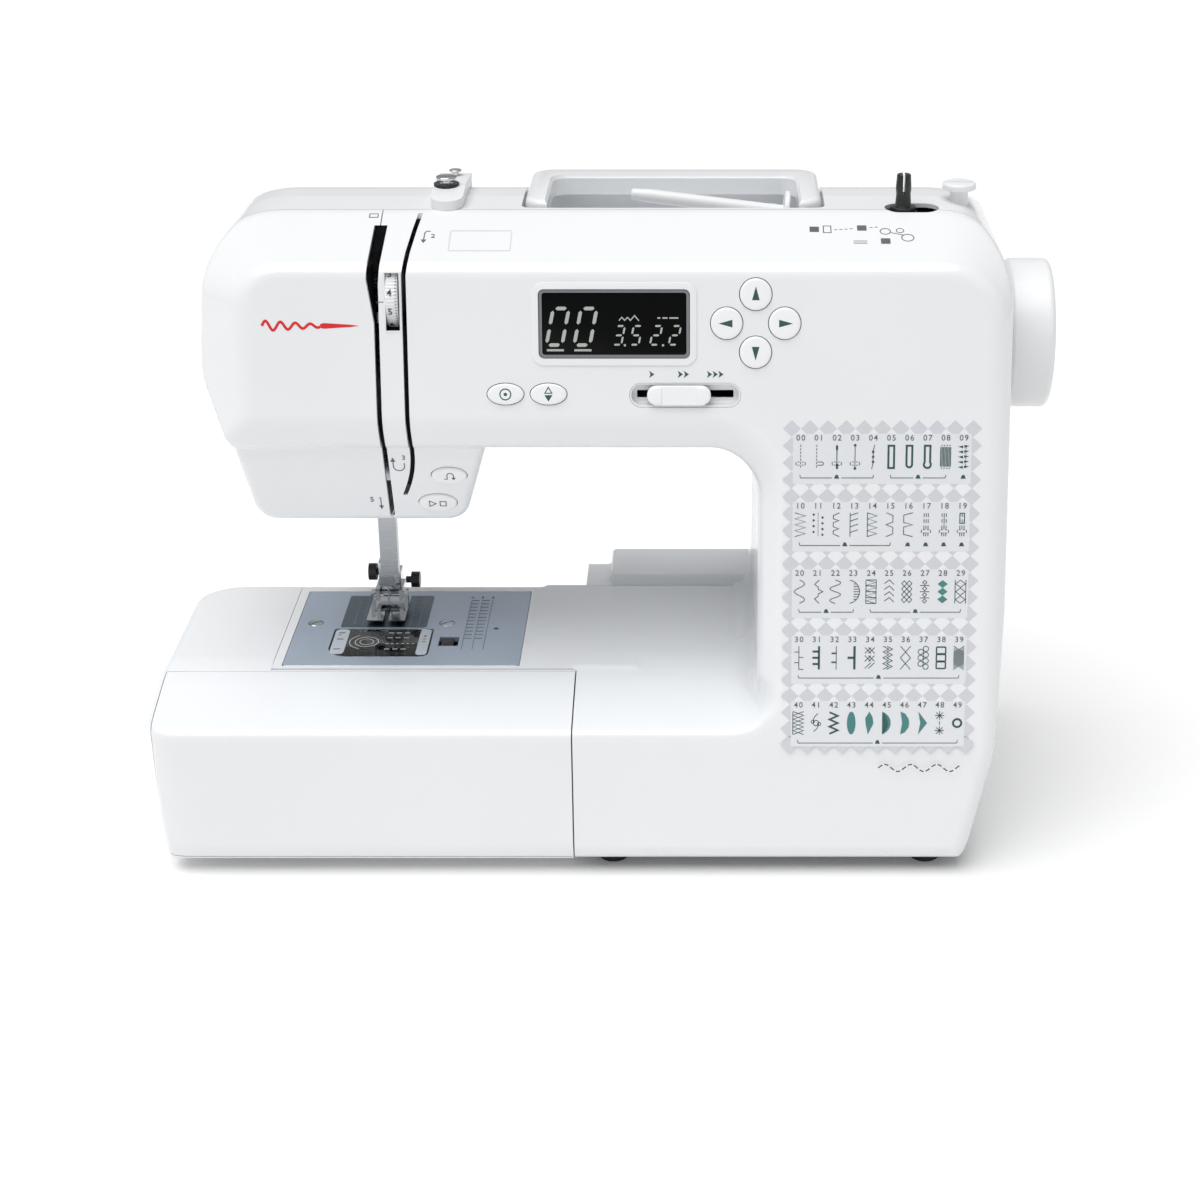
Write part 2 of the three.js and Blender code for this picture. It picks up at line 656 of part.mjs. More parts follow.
const soleZ = bed + 1.2;
const footPinZ = bed + 7.5;
const footPinY = needleY + 4;
const screwZ = bed + 11;
const soleReach = 12;
const heelSlope = 0.132; // the sole rises behind the pin, so that the foot can rock back
const toeBend = 9; // the toes turn up from here
const toeSlope = 0.16;
function presser() {
  const at = [needleX, presserY];
  piece("presser_bar", rod("z", presserR, bed + 17, shaftZ + 22, at), steel);
  const arm = join(
    box(needleX - 5, needleX + 5, presserY - 5, presserY + 4, bed + 8, bed + 17 - gap),
    box(needleX - 6.5, needleX + 6.5, footPinY + 3, presserY + 1, bed + 6, bed + 11),
    box(needleX - 6.5, needleX - 4.6, footPinY - 2, footPinY + 5, bed + 5, bed + 11),
    box(needleX + 4.6, needleX + 6.5, footPinY - 2, footPinY + 5, bed + 5, bed + 11),
  );
  const pinHoles = rod("x", 1.4, needleX - 8, needleX + 8, [footPinY, footPinZ], 12);
  piece("foot_holder", cut(arm, pinHoles), chrome);
  const knob = join(
    rod("x", 1.6, needleX + 6.5 + gap, needleX + 10, [presserY, screwZ], 12),
    rod("x", 3.8, needleX + 9.5, needleX + 13.5, [presserY, screwZ], 16),
  );
  piece("foot_thumbscrew", knob, black);
  const sole = cut(
    box(needleX - 9, needleX + 9, needleY - 16, needleY + 13, soleZ, soleZ + 1.6),
    box(needleX - 3.8, needleX + 3.8, needleY - 2.5, needleY + 2, soleZ - 3, soleZ + 5),
    box(needleX - 1.2, needleX + 1.2, needleY - 20, needleY - 2, soleZ - 3, soleZ + 5),
  );
  const heel = prism(
    "x",
    [
      [footPinY, soleZ],
      [footPinY + soleReach, soleZ - 1],
      [footPinY + soleReach, soleZ + soleReach * heelSlope],
    ],
    needleX - 12,
    needleX + 12,
  );
  const toe = prism(
    "x",
    [
      [needleY - toeBend, soleZ],
      [needleY - toeBend - soleReach, soleZ + soleReach * toeSlope],
      [needleY - toeBend - soleReach, soleZ - 1],
    ],
    needleX - 12,
    needleX + 12,
  );
  const ears = [-1, 1].map((side) => {
    const x = needleX + side * 8;
    return box(x - 0.8, x + 0.8, footPinY - 3, footPinY + 3, soleZ + 1, footPinZ + 1.6);
  });
  const pin = rod("x", 1, needleX - 7.8, needleX + 7.8, [footPinY, footPinZ], 12);
  piece("presser_foot", join(cut(sole, heel, toe), ...ears, pin), chrome);
}

const lifterY = presserY + 10;
const lifterZ = headBottom + 16;
function lifter() {
  const hub = rod("x", 5, lifterX, lifterX + 7, [lifterY, lifterZ], 16);
  const reach = 30;
  const angle = -0.7;
  const tipY = lifterY + reach * Math.cos(angle);
  const tipZ = lifterZ + reach * Math.sin(angle);
  const nx = -Math.sin(angle) * 3;
  const nz = Math.cos(angle) * 3;
  const arm = prism(
    "x",
    [
      [lifterY - nx, lifterZ - nz],
      [tipY - nx, tipZ - nz],
      [tipY + nx, tipZ + nz],
      [lifterY + nx, lifterZ + nz],
    ],
    lifterX + 1,
    lifterX + 6,
  );
  piece("presser_lifter", join(hub, arm), darkGrey);
  const tab = join(
    box(-2.5, 2.5, -4, 4, headBottom - 4, headBottom + 45),
    box(-2.5, 2.5, -6, 4, headBottom - 6, headBottom - 2),
  );
  piece("buttonhole_lever", tab, softWhite).position.set(leverX, 0, 0);
}

const takeUpY = 8;
const takeUpZ = shaftZ + 2.5;
const takeUpReach = 58;
const takeUpAngle = THREE.MathUtils.degToRad(25);
function takeUp() {
  const x0 = slotX - 0.2;
  const dy = Math.cos(takeUpAngle);
  const dz = Math.sin(takeUpAngle);
  const along = (s, n) => [takeUpY - s * dy - n * dz, takeUpZ + s * dz - n * dy];
  const arm = prism(
    "x",
    [
      along(takeUpReach - 8, 2.6),
      along(takeUpReach, 3),
      along(takeUpReach, -1.6),
      along(takeUpReach - 6, -2.4),
      along(0, -4),
      along(0, 4),
    ],
    x0,
    x0 + 1.6,
  );
  const hub = rod("x", 6, x0, x0 + 1.6, [takeUpY, takeUpZ], 16);
  const eye = rod("x", 1, x0 - 2, x0 + 4, along(takeUpReach - 4, 0.4), 12);
  piece("take_up_lever", cut(arm.add(hub), eye), chrome);
  piece("tension_dial", rod("x", dialR, dialX - dialHalf, dialX + dialHalf, [dialY, dialZ], 36), softWhite);
}

// ---- Top fittings ----
const guideX = needleX + 39;
function topFittings() {
  const plan = rounded([
    [guideX - 7, -12, 6],
    [guideX + 7, -12, 6],
    [guideX + 7, 42, 6],
    [guideX - 7, 42, 6],
  ]);
  const profile = [
    [-13, top - 2 + gap],
    [12, top + gap],
    [30, top - 1 + gap],
    [43, top - 6 + gap],
    [43, top],
    [34, top + 4.5],
    [-7, top + 5],
    [-13, top + 2],
  ];
  const guide = prism("z", plan, top - 10, top + 10).intersect(prism("x", profile, left, right));
  piece("thread_guide", guide, softWhite);
}

const handleWidth = 10;
const handleFront = seamY + 6;
const handleBack = 57;
const handleZ = top - 4.5;
function handle() {
  const outerPlan = rounded([
    [wellLeft + 1, handleFront, 3],
    [wellRight - 1, handleFront, 3],
    [wellRight - 1, handleBack, 12],
    [wellLeft + 1, handleBack, 12],
  ]);
  const hole = rounded([
    [wellLeft + 1 + handleWidth, -80, 3],
    [wellRight - 1 - handleWidth, -80, 3],
    [wellRight - 1 - handleWidth, handleBack - 14, 8],
    [wellLeft + 1 + handleWidth, handleBack - 14, 8],
  ]);
  const height = 9;
  const frame = cut(
    prism("z", outerPlan, handleZ - height / 2, handleZ + height / 2),
    prism("z", hole, handleZ - height, handleZ + height),
  );
  piece("carry_handle", frame, white);
}

const pinLift = THREE.MathUtils.degToRad(7);
function spoolPin() {
  const group = new THREE.Group();
  group.position.set(pinPivotX, pinY, pinPivotZ);
  group.rotation.y = pinLift;
  root.add(group);
  const body = join(
    rod("x", 3, -62, 7, [0, 3], 16),
    rod("x", 9.5, 5.5, 7.5, [0, 3], 24),
    rod("y", 3, -5, 5, [0, 0], 16),
  );
  piece("spool_pin", body, white, group);
}

const stopperX = bodyRight - 19.5;
const stopperY = 8;
function winder() {
  const carrierTop = top - 8.5;
  const carrier = join(
    box(winderX - 20, winderX + 8, winderY - 9, winderY + 14, carrierTop - 3, carrierTop),
    rod("z", 6, carrierTop - 1, carrierTop + 5, [winderX, winderY], 20),
  );
  const hole = rod("z", 2.4, carrierTop - 8, carrierTop + 8, [winderX, winderY], 16);
  piece("winder_carrier", cut(carrier, hole), darkGrey);
  const spindle = join(
    rod("z", 2.1, carrierTop - 8, carrierTop + 6, [0, 0], 16),
    rod("z", 5.6, carrierTop + 5.4, carrierTop + 7.4, [0, 0], 20),
    rod("z", 3.4, carrierTop + 7, top + 12.6, [0, 0], 20, 2.9),
  );
  const split = box(-0.5, 0.5, -5, 5, carrierTop + 13, top + 15);
  piece("winder_spindle", cut(spindle, split), black).position.set(winderX, winderY, 0);
  const knob = join(
    rod("z", 4, top + gap, top + 2.5, [0, 0], 16),
    rod("z", 7.4, top + 2, top + 5.5, [0, 0], 24),
  );
  piece("winder_stopper", knob, softWhite).position.set(stopperX, stopperY, 0);
}

// ---- Drive train ----
function ringBelt(x, width, y0, z0, r0, y1, z1, r1) {
  const distance = Math.hypot(y1 - y0, z1 - z0);
  const heading = Math.atan2(z1 - z0, y1 - y0);
  const loop = (grow) => {
    const a = r0 + grow;
    const b = r1 + grow;
    const lean = Math.acos((a - b) / distance);
    const arc = (cy, cz, r, from, to) => {
      const points = [];
      for (let i = 0; i <= 10; i += 1) {
        const t = from + ((to - from) * i) / 10;
        points.push([cy + r * Math.cos(t), cz + r * Math.sin(t)]);
      }
      return points;
    };
    return [
      ...arc(y0, z0, a, heading + lean, heading + 2 * Math.PI - lean),
      ...arc(y1, z1, b, heading - lean, heading + lean),
    ];
  };
  return cut(
    prism("x", loop(gap + 0.6 + beltThickness), x, x + width),
    prism("x", loop(gap + 0.6), x - 5, x + width + 5),
  );
}

function drive() {
  const at = [shaftY, shaftZ];
  const crank = join(
    rod("x", shaftR, slotX + 6, right - 3, at),
    rod("x", 15, slotX + 6, slotX + 12, at, 24),
    rod("x", timingPulleyR, timingX, timingX + 9, at, 24),
  );
  piece("upper_shaft", crank, steel);
  const wheel = cut(
    join(
      rod("x", wheelR - 3, bodyRight + 3, bodyRight + 5.2, at, 40, wheelR),
      rod("x", wheelR, bodyRight + 5, right - 3, at, 40),
      rod("x", wheelR, right - 3.1, right, at, 40, wheelR - 4),
    ),
    rod("x", shaftR + 0.2, bodyRight, right - 2.5, at),
  );
  piece("handwheel", wheel, softWhite);
  const pulley = cut(
    rod("x", drivePulleyR, beltX, beltX + 8, at, 32),
    rod("x", shaftR + 0.2, beltX - 5, beltX + 15, at),
  );
  piece("drive_pulley", pulley, darkGrey);
  const motorAt = [motorY, motorZ];
  const body = join(
    rod("x", motorR, motorX, motorX + 46, motorAt, 24),
    rod("x", 2, motorX + 45, beltX + 7, motorAt, 12),
  );
  piece("motor", body, copper);
  const small = cut(
    rod("x", motorPulleyR, beltX - 0.5, beltX + 8.5, motorAt, 20),
    rod("x", 2.3, beltX - 5, beltX + 15, motorAt, 12),
  );
  piece("motor_pulley", small, steel);
  piece("motor_belt", ringBelt(beltX + 1, 6, ...at, drivePulleyR, ...motorAt, motorPulleyR), rubber);
  const low = [lowerShaftY, lowerShaftZ];
  piece("timing_belt", ringBelt(timingX + 1, 7, ...at, timingPulleyR, ...low, timingPulleyR), rubber);
  const lower = join(
    rod("x", lowerShaftR, needleX - 6, timingX + 20, low, 20),
    rod("x", lowerGearR, needleX - 5, needleX + 5, low, 32),
    rod("x", timingPulleyR, timingX, timingX + 9, low, 24),
  );
  piece("lower_shaft", lower, steel);
}

function chassis() {
  const beamY = 43;
  const beam = box(needleX - 12, beltX - 8, beamY, beamY + 6, shaftZ - 14, shaftZ + 20);
  const column = box(timingX + 22, timingX + 30, -12, beamY + 6, footHeight + 4.5, shaftZ + 12);
  const rail = box(needleX + 40, timingX + 24, beamY, beamY + 6, lowerShaftZ - 8, lowerShaftZ + 12);
  const bracket = (x) => box(x, x + 6, shaftY - 12, beamY + 1, shaftZ - 12, shaftZ + 12);
  const lowBracket = (x) => box(x, x + 6, lowerShaftY - 9, beamY + 1, lowerShaftZ - 8, lowerShaftZ + 9);
  const guide = (z) => box(needleX - 9, needleX + 4.2, needleY - 4.6, beamY + 1, z, z + 7);
  const spine = box(needleX - 9, needleX - 5.4, presserY + 5, beamY + 6, headBottom + 14, shaftZ + 2);
  const mount = box(motorX + 46.5, motorX + 49.5, motorY - 24, beamY + 4, motorZ - 24, motorZ + 24);
  const bridge = box(timingX + 29, motorX + 47, beamY - 12, beamY + 4, motorZ - 15, motorZ + 15);
  const holes = [
    rod("x", shaftR + running, left, right, [shaftY, shaftZ]),
    rod("x", lowerShaftR + running, left, right, [lowerShaftY, lowerShaftZ]),
    rod("z", barR + running, 0, top, [needleX, needleY]),
    rod("z", presserR + running, 0, top, [needleX, presserY]),
    rod("x", 6, motorX + 40, motorX + 55, [motorY, motorZ]),
  ];
  const frame = join(
    beam,
    column,
    rail,
    bracket(needleX + 34),
    bracket(timingX - 16),
    lowBracket(needleX + 50),
    lowBracket(timingX - 16),
    guide(headBottom + 14),
    guide(shaftZ + 3),
    spine,
    mount,
    bridge,
  );
  piece("chassis", cut(frame, ...holes), alloy);
}

// ---- Controls ----
const buttonOut = 1.1;
function controls() {
  for (const [name, frame, w, h] of buttons) {
    const cap = join(oval(w, h, -buttonOut, wall + 0.8), oval(w + 2, h + 2, wall + 1.4 + gap, wall + 2.6));
    const stem = oval(w - 3, h - 3, wall, wall + 2.4);
    piece(name, join(cap, stem), white, frame);
    root.add(frame);
  }
  root.add(lcdFrame);
  const w = glassWidth / 2 - gap;
  const h = glassHeight / 2 - gap;
  piece("display_window", box(-w, w, -0.6, 1.6, -h, h), glass, lcdFrame);
  const circuit = join(box(-45, 52, 9, 10.6, -20, 20), box(-w + 2, w - 2, 3, 9.5, -h + 1, h - 1));
  piece("control_board", circuit, board, lcdFrame);
  root.add(speedFrame);
  const knob = join(
    box(-speedKnob / 2, speedKnob / 2, -2.6, -gap, -4, 4),
    box(-3, 3, -gap - 0.5, wall + 2, -1.2, 1.2),
    box(-5, 5, wall + 0.6, wall + 2.2, -3.4, 3.4),
  );
  piece("speed_slider", knob, white, speedFrame).position.x = -2.6;
  const rocker = prism(
    "y",
    [
      [bodyRight - 6, switchZ - 9],
      [bodyRight + 0.6, switchZ - 9],
      [bodyRight + 0.2, switchZ],
      [bodyRight + 1.8, switchZ + 9],
      [bodyRight - 6, switchZ + 9],
    ],
    sideY - 6.2,
    sideY + 6.2,
  );
  piece("power_switch", rocker, black);
  const block = cut(
    box(bodyRight - 18, bodyRight - 0.4, sideY - 12.6, sideY + 12.6, socketZ - 9, socketZ + 9),
    box(bodyRight - 14, bodyRight + 3, sideY - 10.8, sideY + 10.8, socketZ - 6, socketZ + 6),
  );
  const pins = [-4, 4].map((side) => {
    const y = sideY + side;
    return box(bodyRight - 15, bodyRight - 5, y - 1, y + 1, socketZ - 2.5, socketZ + 2.5);
  });
  piece("inlet_socket", join(block, ...pins), black);
}

// ---- Extension table with its storage lid ----
const lidLeft = left + 4;
const lidFront = chamferY + 9.7;
const lidBottom = footHeight + 4;
function extensionTable() {
  const outline = [
    [left + 7, footHeight],
    [tableRight - gap, footHeight],
    [tableRight - gap, bed],
    [left + 2, bed, 4],
    [left, bed - 8],
    [left + 3, 26],
  ];
  const plan = [
    [left, front - 1, 22],
    [tableRight - gap, front - 1],
    [tableRight - gap, armBack + 1],
    [left, armBack + 1, 22],
  ];
  const slope = [
    [front - 6, bed - noseDrop - 1.4],
    [armFront, bed],
    [armFront, bed + 30],
    [front - 6, bed + 30],
  ];
  const solidTable = (less, reach) => {
    const wide = [...outline];
    wide[1] = [tableRight - gap + reach, footHeight];
    wide[2] = [tableRight - gap + reach, bed];
    const long = [...plan];
    long[1] = [tableRight - gap + reach, front - 1];
    long[2] = [tableRight - gap + reach, armBack + 1];
    const drop = slope.map(([y, z]) => [y, z - less]);
    return cut(
      prism("y", rounded(wide, less), front - 5, back)
        .intersect(prism("x", inset(sideOutline, less), left, right))
        .intersect(prism("z", rounded(long, less), 0, bed + 5)),
      prism("x", drop, left - 5, tableRight + 20),
    );
  };
  const full = solidTable(0, 0);
  const lidRoom = (g) => box(lidLeft - g, tableRight + 5, front - 5, lidFront + g, lidBottom - g, bed + 5);
  const armRoom = box(armLeft - gap, tableRight + 5, armFront - gap, back, 0, bed + 5);
  const skin = cut(full, solidTable(wall, 20));
  piece("accessory_lid", skin.intersect(lidRoom(0)), white);
  const roomPlan = [
    [left + 10, armFront - gap],
    [armLeft - gap - wall, armFront - gap],
    [armLeft - gap - wall, armBack - 1.5],
    [left + 10, armBack - 1.5, 18],
  ];
  const blockRoom = prism("z", rounded(roomPlan), -1, bed - wall);
  const wallX = tableRight - gap;
  const wallY = armFront - gap;
  const backWall = box(lidLeft + 8, wallX, wallY - wall, wallY, footHeight, bed - 5);
  const endWall = box(wallX - wall, wallX, front + 7, wallY, footHeight, bed - 16);
  const body = join(cut(full, lidRoom(gap), armRoom, blockRoom), backWall, endWall);
  piece("extension_table", body, white);
}

covers();
basePlate();
rubberFeet();
freeArm();
needlePlate();
feedDog();
hookAssembly();
needleBar();
presser();
lifter();
takeUp();
topFittings();
handle();
spoolPin();
winder();
drive();
chassis();
controls();
extensionTable();

export default root;
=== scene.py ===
import json
import math

import bmesh
import bpy
import numpy as np
from mathutils import Matrix, Vector

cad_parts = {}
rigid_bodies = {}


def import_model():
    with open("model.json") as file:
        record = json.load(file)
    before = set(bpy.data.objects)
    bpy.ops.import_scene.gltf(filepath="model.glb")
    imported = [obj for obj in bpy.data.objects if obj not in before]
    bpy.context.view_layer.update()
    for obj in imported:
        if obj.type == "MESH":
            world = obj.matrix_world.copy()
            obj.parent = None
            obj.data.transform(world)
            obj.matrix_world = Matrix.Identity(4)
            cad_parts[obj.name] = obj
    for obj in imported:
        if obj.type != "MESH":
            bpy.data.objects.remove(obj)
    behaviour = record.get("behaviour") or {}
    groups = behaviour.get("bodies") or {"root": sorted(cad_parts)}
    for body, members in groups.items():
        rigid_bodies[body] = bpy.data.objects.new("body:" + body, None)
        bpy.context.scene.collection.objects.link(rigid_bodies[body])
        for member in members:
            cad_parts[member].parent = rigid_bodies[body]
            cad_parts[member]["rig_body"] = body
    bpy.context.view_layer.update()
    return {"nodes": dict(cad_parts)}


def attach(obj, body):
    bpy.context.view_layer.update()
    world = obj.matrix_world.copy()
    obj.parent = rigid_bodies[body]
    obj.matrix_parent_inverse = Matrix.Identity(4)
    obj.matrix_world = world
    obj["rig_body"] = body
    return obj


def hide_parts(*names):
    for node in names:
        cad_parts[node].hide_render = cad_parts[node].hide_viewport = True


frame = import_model()
nodes = frame["nodes"]
MM = 0.001

# ---------------------------------------------------------------- dimensions, millimetres
BED, ARM, TOP, HEAD = 80.0, 190.0, 286.0, 149.5
LEFT, BODY_L, BODY_R = -201.0, -170.0, 177.0
PILLAR, TABLE_R, HEAD_R = 69.3, -12.0, -47.4
NX, SEAM = -104.0, -10.0
TILT = math.atan2(36.0, 199.0)
SLOT_A, SLOT_B = NX + 12.0, NX + 24.3


def panel_y(z):
    return -86.0 + (z - 70.0) * 36.0 / 199.0


CHAMFER_Y = panel_y(ARM + 14.0) + 9.8
ARM_F, ARM_B = CHAMFER_Y + 11.4, 55.0
HEAD_TILT = math.atan2(16.0, ARM - HEAD)


def head_y(z):
    return CHAMFER_Y + (ARM - z) * 16.0 / (ARM - HEAD)


# ---------------------------------------------------------------- outlines and distance fields
def fillet(corners, step=1.2):
    """Closed outline with round corners, from (u, v, radius)."""
    n, out = len(corners), []
    for i, c in enumerate(corners):
        p = np.array(c[:2], float)
        r = c[2] if len(c) > 2 else 0.0
        a, b = (np.array(corners[j % n][:2], float) - p for j in (i - 1, i + 1))
        la, lb = np.linalg.norm(a), np.linalg.norm(b)
        a, b = a / la, b / lb
        half = math.acos(max(-1.0, min(1.0, float(a @ b)))) / 2
        if r < 0.05 or half > 1.565:
            out.append(tuple(p))
            continue
        reach = min(r / math.tan(half), 0.49 * la, 0.49 * lb)
        r = reach * math.tan(half)
        mid = a + b
        centre = p + mid / np.linalg.norm(mid) * (r / math.sin(half))
        s, e = p + a * reach - centre, p + b * reach - centre
        a0, a1 = math.atan2(s[1], s[0]), math.atan2(e[1], e[0])
        turn = (a1 - a0 + math.pi) % (2 * math.pi) - math.pi
        k = max(2, int(abs(turn) * r / step) + 1, int(abs(turn) / 0.26) + 1)
        for j in range(k + 1):
            t = a0 + turn * j / k
            out.append((centre[0] + r * math.cos(t), centre[1] + r * math.sin(t)))
    return out


def distance(line, u, v, direction=False):
    """Signed distance to a closed outline, negative inside, and the way from it."""
    u, v = np.broadcast_arrays(np.asarray(u, float), np.asarray(v, float))
    shape = u.shape
    u, v = u.ravel(), v.ravel()
    best = np.full(u.shape, 1e18)
    bu, bv = np.zeros_like(u), np.zeros_like(v)
    inside = np.zeros(u.shape, bool)
    pts = np.array(line, float)
    for (au, av), (cu, cv) in zip(pts, np.roll(pts, -1, 0)):
        du, dv = cu - au, cv - av
        ll = du * du + dv * dv
        if ll < 1e-12:
            continue
        wu, wv = u - au, v - av
        t = np.clip((wu * du + wv * dv) / ll, 0, 1)
        eu, ev = wu - t * du, wv - t * dv
        d = eu * eu + ev * ev
        near = d < best
        best = np.where(near, d, best)
        if direction:
            bu, bv = np.where(near, eu, bu), np.where(near, ev, bv)
        if dv:
            crosses = (av > v) != (cv > v)
            inside ^= crosses & (u < du * (v - av) / dv + au)
    best = np.sqrt(best)
    signed = np.where(inside, -best, best).reshape(shape)
    if not direction:
        return signed
    k = np.where(inside, -1.0, 1.0) / np.maximum(best, 1e-9)
    return signed, (bu * k).reshape(shape), (bv * k).reshape(shape)


def meet(a, b, r):
    """Both at once, with the edge rounded to r."""
    u, v = np.maximum(r + a, 0), np.maximum(r + b, 0)
    return np.minimum(-r, np.maximum(a, b)) + np.sqrt(u * u + v * v)


def either(a, b, r):
    """One or the other, with the corner between them filled to r."""
    u, v = np.maximum(r - a, 0), np.maximum(r - b, 0)
    return np.maximum(r, np.minimum(a, b)) - np.sqrt(u * u + v * v)


def block(x, y, z, lo, hi, r):
    """Distance to a box with round edges."""
    q = [np.abs(c - (a + b) / 2) - (b - a) / 2 + r for c, a, b in zip((x, y, z), lo, hi)]
    out = np.sqrt(sum(np.maximum(k, 0) ** 2 for k in q))
    return out + np.minimum(np.maximum(np.maximum(q[0], q[1]), q[2]), 0) - r


# ---------------------------------------------------------------- the body's shape
BODY_LINE = fillet([
    (TABLE_R - 20, 5, 1), (BODY_R - 15, 5, 4), (BODY_R - 3, BED - 22, 26), (BODY_R, BED + 40, 60),
    (BODY_R, TOP + 1, 34), (BODY_L + 4, TOP + 1, 50), (BODY_L, ARM + 30, 30), (BODY_L + 13, ARM, 2),
    (PILLAR, ARM, 21), (PILLAR, BED, 13), (TABLE_R - 20, BED, 0.5),
])
SIDE_LINE = fillet([
    (-86, 5, 3), (87, 5, 3), (89, 14, 6), (89, BED - 20, 30), (75, TOP - 31, 30), (62, TOP - 12, 26),
    (30, TOP - 1, 40), (12, TOP, 30), (-16, TOP - 1.4, 20), (-74.2, TOP + 4), (-89, 14, 5),
])
PANEL_LINE = fillet([
    (-150, -60), (160, -60), (171, 58, 40), (171.5, 269, 24), (-150, 269, 17),
])
VOID_LINE = fillet([(-420, ARM), (PILLAR, ARM, 21), (PILLAR, BED, 13), (-420, BED)])
HEAD_LINE = fillet([
    (BODY_L + 19, HEAD, 11), (HEAD_R - 12.5, HEAD, 11), (HEAD_R, ARM + 2), (HEAD_R, ARM + 35),
    (BODY_L + 13, ARM + 35), (BODY_L + 13, ARM),
])
HEAD_SIDE = fillet([
    (head_y(HEAD), HEAD), (58, HEAD), (58, ARM + 35), (CHAMFER_Y, ARM + 35), (CHAMFER_Y, ARM),
])
ARM_BOX = ((-150, ARM_F, 30), (TABLE_R + 30, ARM_B, BED))
ARM_WIDE = ((-170, ARM_F - 12, 18), (TABLE_R, ARM_B, BED))


def body_shape(x, y, z):
    f = meet(distance(BODY_LINE, x, z), distance(SIDE_LINE, y, z), 7.0)
    t = (y - panel_y(z)) * math.cos(TILT)
    d, u, v = distance(PANEL_LINE, x, z, True)
    side = np.where(u > 0, 1.2, 0.85)
    k = side * u * u + 2.3 * np.maximum(v, 0) ** 2 + 1.2 * np.minimum(v, 0) ** 2
    f = meet(f, meet(-t, (k * d - t) / np.sqrt(1 + k * k), 3.5), 1.0)
    d, u, v = distance(VOID_LINE, x, z, True)
    up, down, across = np.maximum(v, 0) ** 2, np.minimum(v, 0) ** 2, u * u
    w = np.maximum(14 * up + 10.5 * down + 10.7 * across, 1)
    h = np.maximum(9.8 * up + 45.4 * down + 9.8 * across, 1)
    c = (1 - d / w - t / h) / np.sqrt(1 / (w * w) + 1 / (h * h))
    f = meet(f, c, 3.0)
    f = np.minimum(f, np.minimum(block(x, y, z, *ARM_BOX, 3.0), block(x, y, z, *ARM_WIDE, 3.0)))
    head = meet(distance(HEAD_LINE, x, z), distance(HEAD_SIDE, y, z), 4.0)
    f = either(f, head, 1.2)
    return either(f, block(x, y, z, (0, 55, BED - 6), (PILLAR + 8, 87.5, BED + 6.7), 2.4), 1.6)


TABLE_LINE = fillet([
    (LEFT + 7, 5, 5), (TABLE_R + 12, 5), (TABLE_R + 12, BED), (LEFT + 1, BED, 4.5),
    (LEFT, BED - 8, 10), (LEFT + 3, 26, 20),
])
TABLE_PLAN = fillet([
    (LEFT, -92, 24), (TABLE_R + 12, -92), (TABLE_R + 12, ARM_B + 1, 1), (LEFT, ARM_B + 1, 24),
])
SLOPE = math.atan2(10.5, 45.4)


def table_shape(x, y, z):
    f = meet(distance(TABLE_LINE, x, z), distance(SIDE_LINE, y, z), 5.0)
    f = meet(f, distance(TABLE_PLAN, x, y), 4.0)
    cut = (z - BED) * math.cos(SLOPE) - (y - ARM_F) * math.sin(SLOPE)
    return meet(f, cut, 3.0)


# ---------------------------------------------------------------- surface meshes from distance fields
def surface(shape, lo, hi, step, level=0.0, steps=2):
    """Quads on the level set of a distance field, moved onto the exact surface."""
    axes = [np.arange(a, b + step, step) for a, b in zip(lo, hi)]
    x, y, z = axes[0][:, None, None], axes[1][None, :, None], axes[2][None, None, :]
    g = (shape(x, y, z) - level).astype(np.float32)
    for axis in range(3):
        for end in (0, -1):
            rim = [slice(None)] * 3
            rim[axis] = end
            g[tuple(rim)] = np.maximum(g[tuple(rim)], step)
    s = g < 0
    corner = [(i, j, k) for i in (0, 1) for j in (0, 1) for k in (0, 1)]
    n = [m - 1 for m in g.shape]

    def part(a, c):
        return a[c[0]:c[0] + n[0], c[1]:c[1] + n[1], c[2]:c[2] + n[2]]

    count = sum(part(s, c).astype(np.int8) for c in corner)
    active = (count > 0) & (count < 8)
    index = np.full(active.shape, -1, np.int64)
    cells = np.argwhere(active)
    index[active] = np.arange(len(cells))
    value = {c: part(g, c)[active] for c in corner}
    total, hits = np.zeros((len(cells), 3)), np.zeros(len(cells))
    for c in corner:
        for axis in range(3):
            if c[axis]:
                continue
            e = list(c)
            e[axis] = 1
            a, b = value[c], value[tuple(e)]
            cross = (a < 0) != (b < 0)
            t = np.where(cross, a / np.where(cross, a - b, 1), 0)
            p = np.tile(np.array(c, float), (len(cells), 1))
            p[:, axis] += t
            total += p * cross[:, None]
            hits += cross
    points = (cells + total / hits[:, None]) * step + np.array(lo, float)
    faces = []
    for axis in range(3):
        a = [slice(None)] * 3
        b = [slice(None)] * 3
        a[axis], b[axis] = slice(0, -1), slice(1, None)
        change = s[tuple(a)] != s[tuple(b)]
        at = np.argwhere(change)
        o1, o2 = (axis + 1) % 3, (axis + 2) % 3
        ok = (at[:, o1] > 0) & (at[:, o2] > 0) & (at[:, o1] < n[o1]) & (at[:, o2] < n[o2])
        at = at[ok]
        quad = []
        for d1, d2 in ((1, 1), (0, 1), (0, 0), (1, 0)):
            c = at.copy()
            c[:, o1] -= d1
            c[:, o2] -= d2
            quad.append(index[c[:, 0], c[:, 1], c[:, 2]])
        quad = np.stack(quad, 1)
        flip = ~s[at[:, 0], at[:, 1], at[:, 2]]
        quad[flip] = quad[flip][:, ::-1]
        faces.append(quad)
    on_cap = np.abs(shape(*points.T) - level) > 1.5 * step
    exact = settle(points, shape, level, steps)
    exact[on_cap] = points[on_cap]
    return exact, np.concatenate(faces)


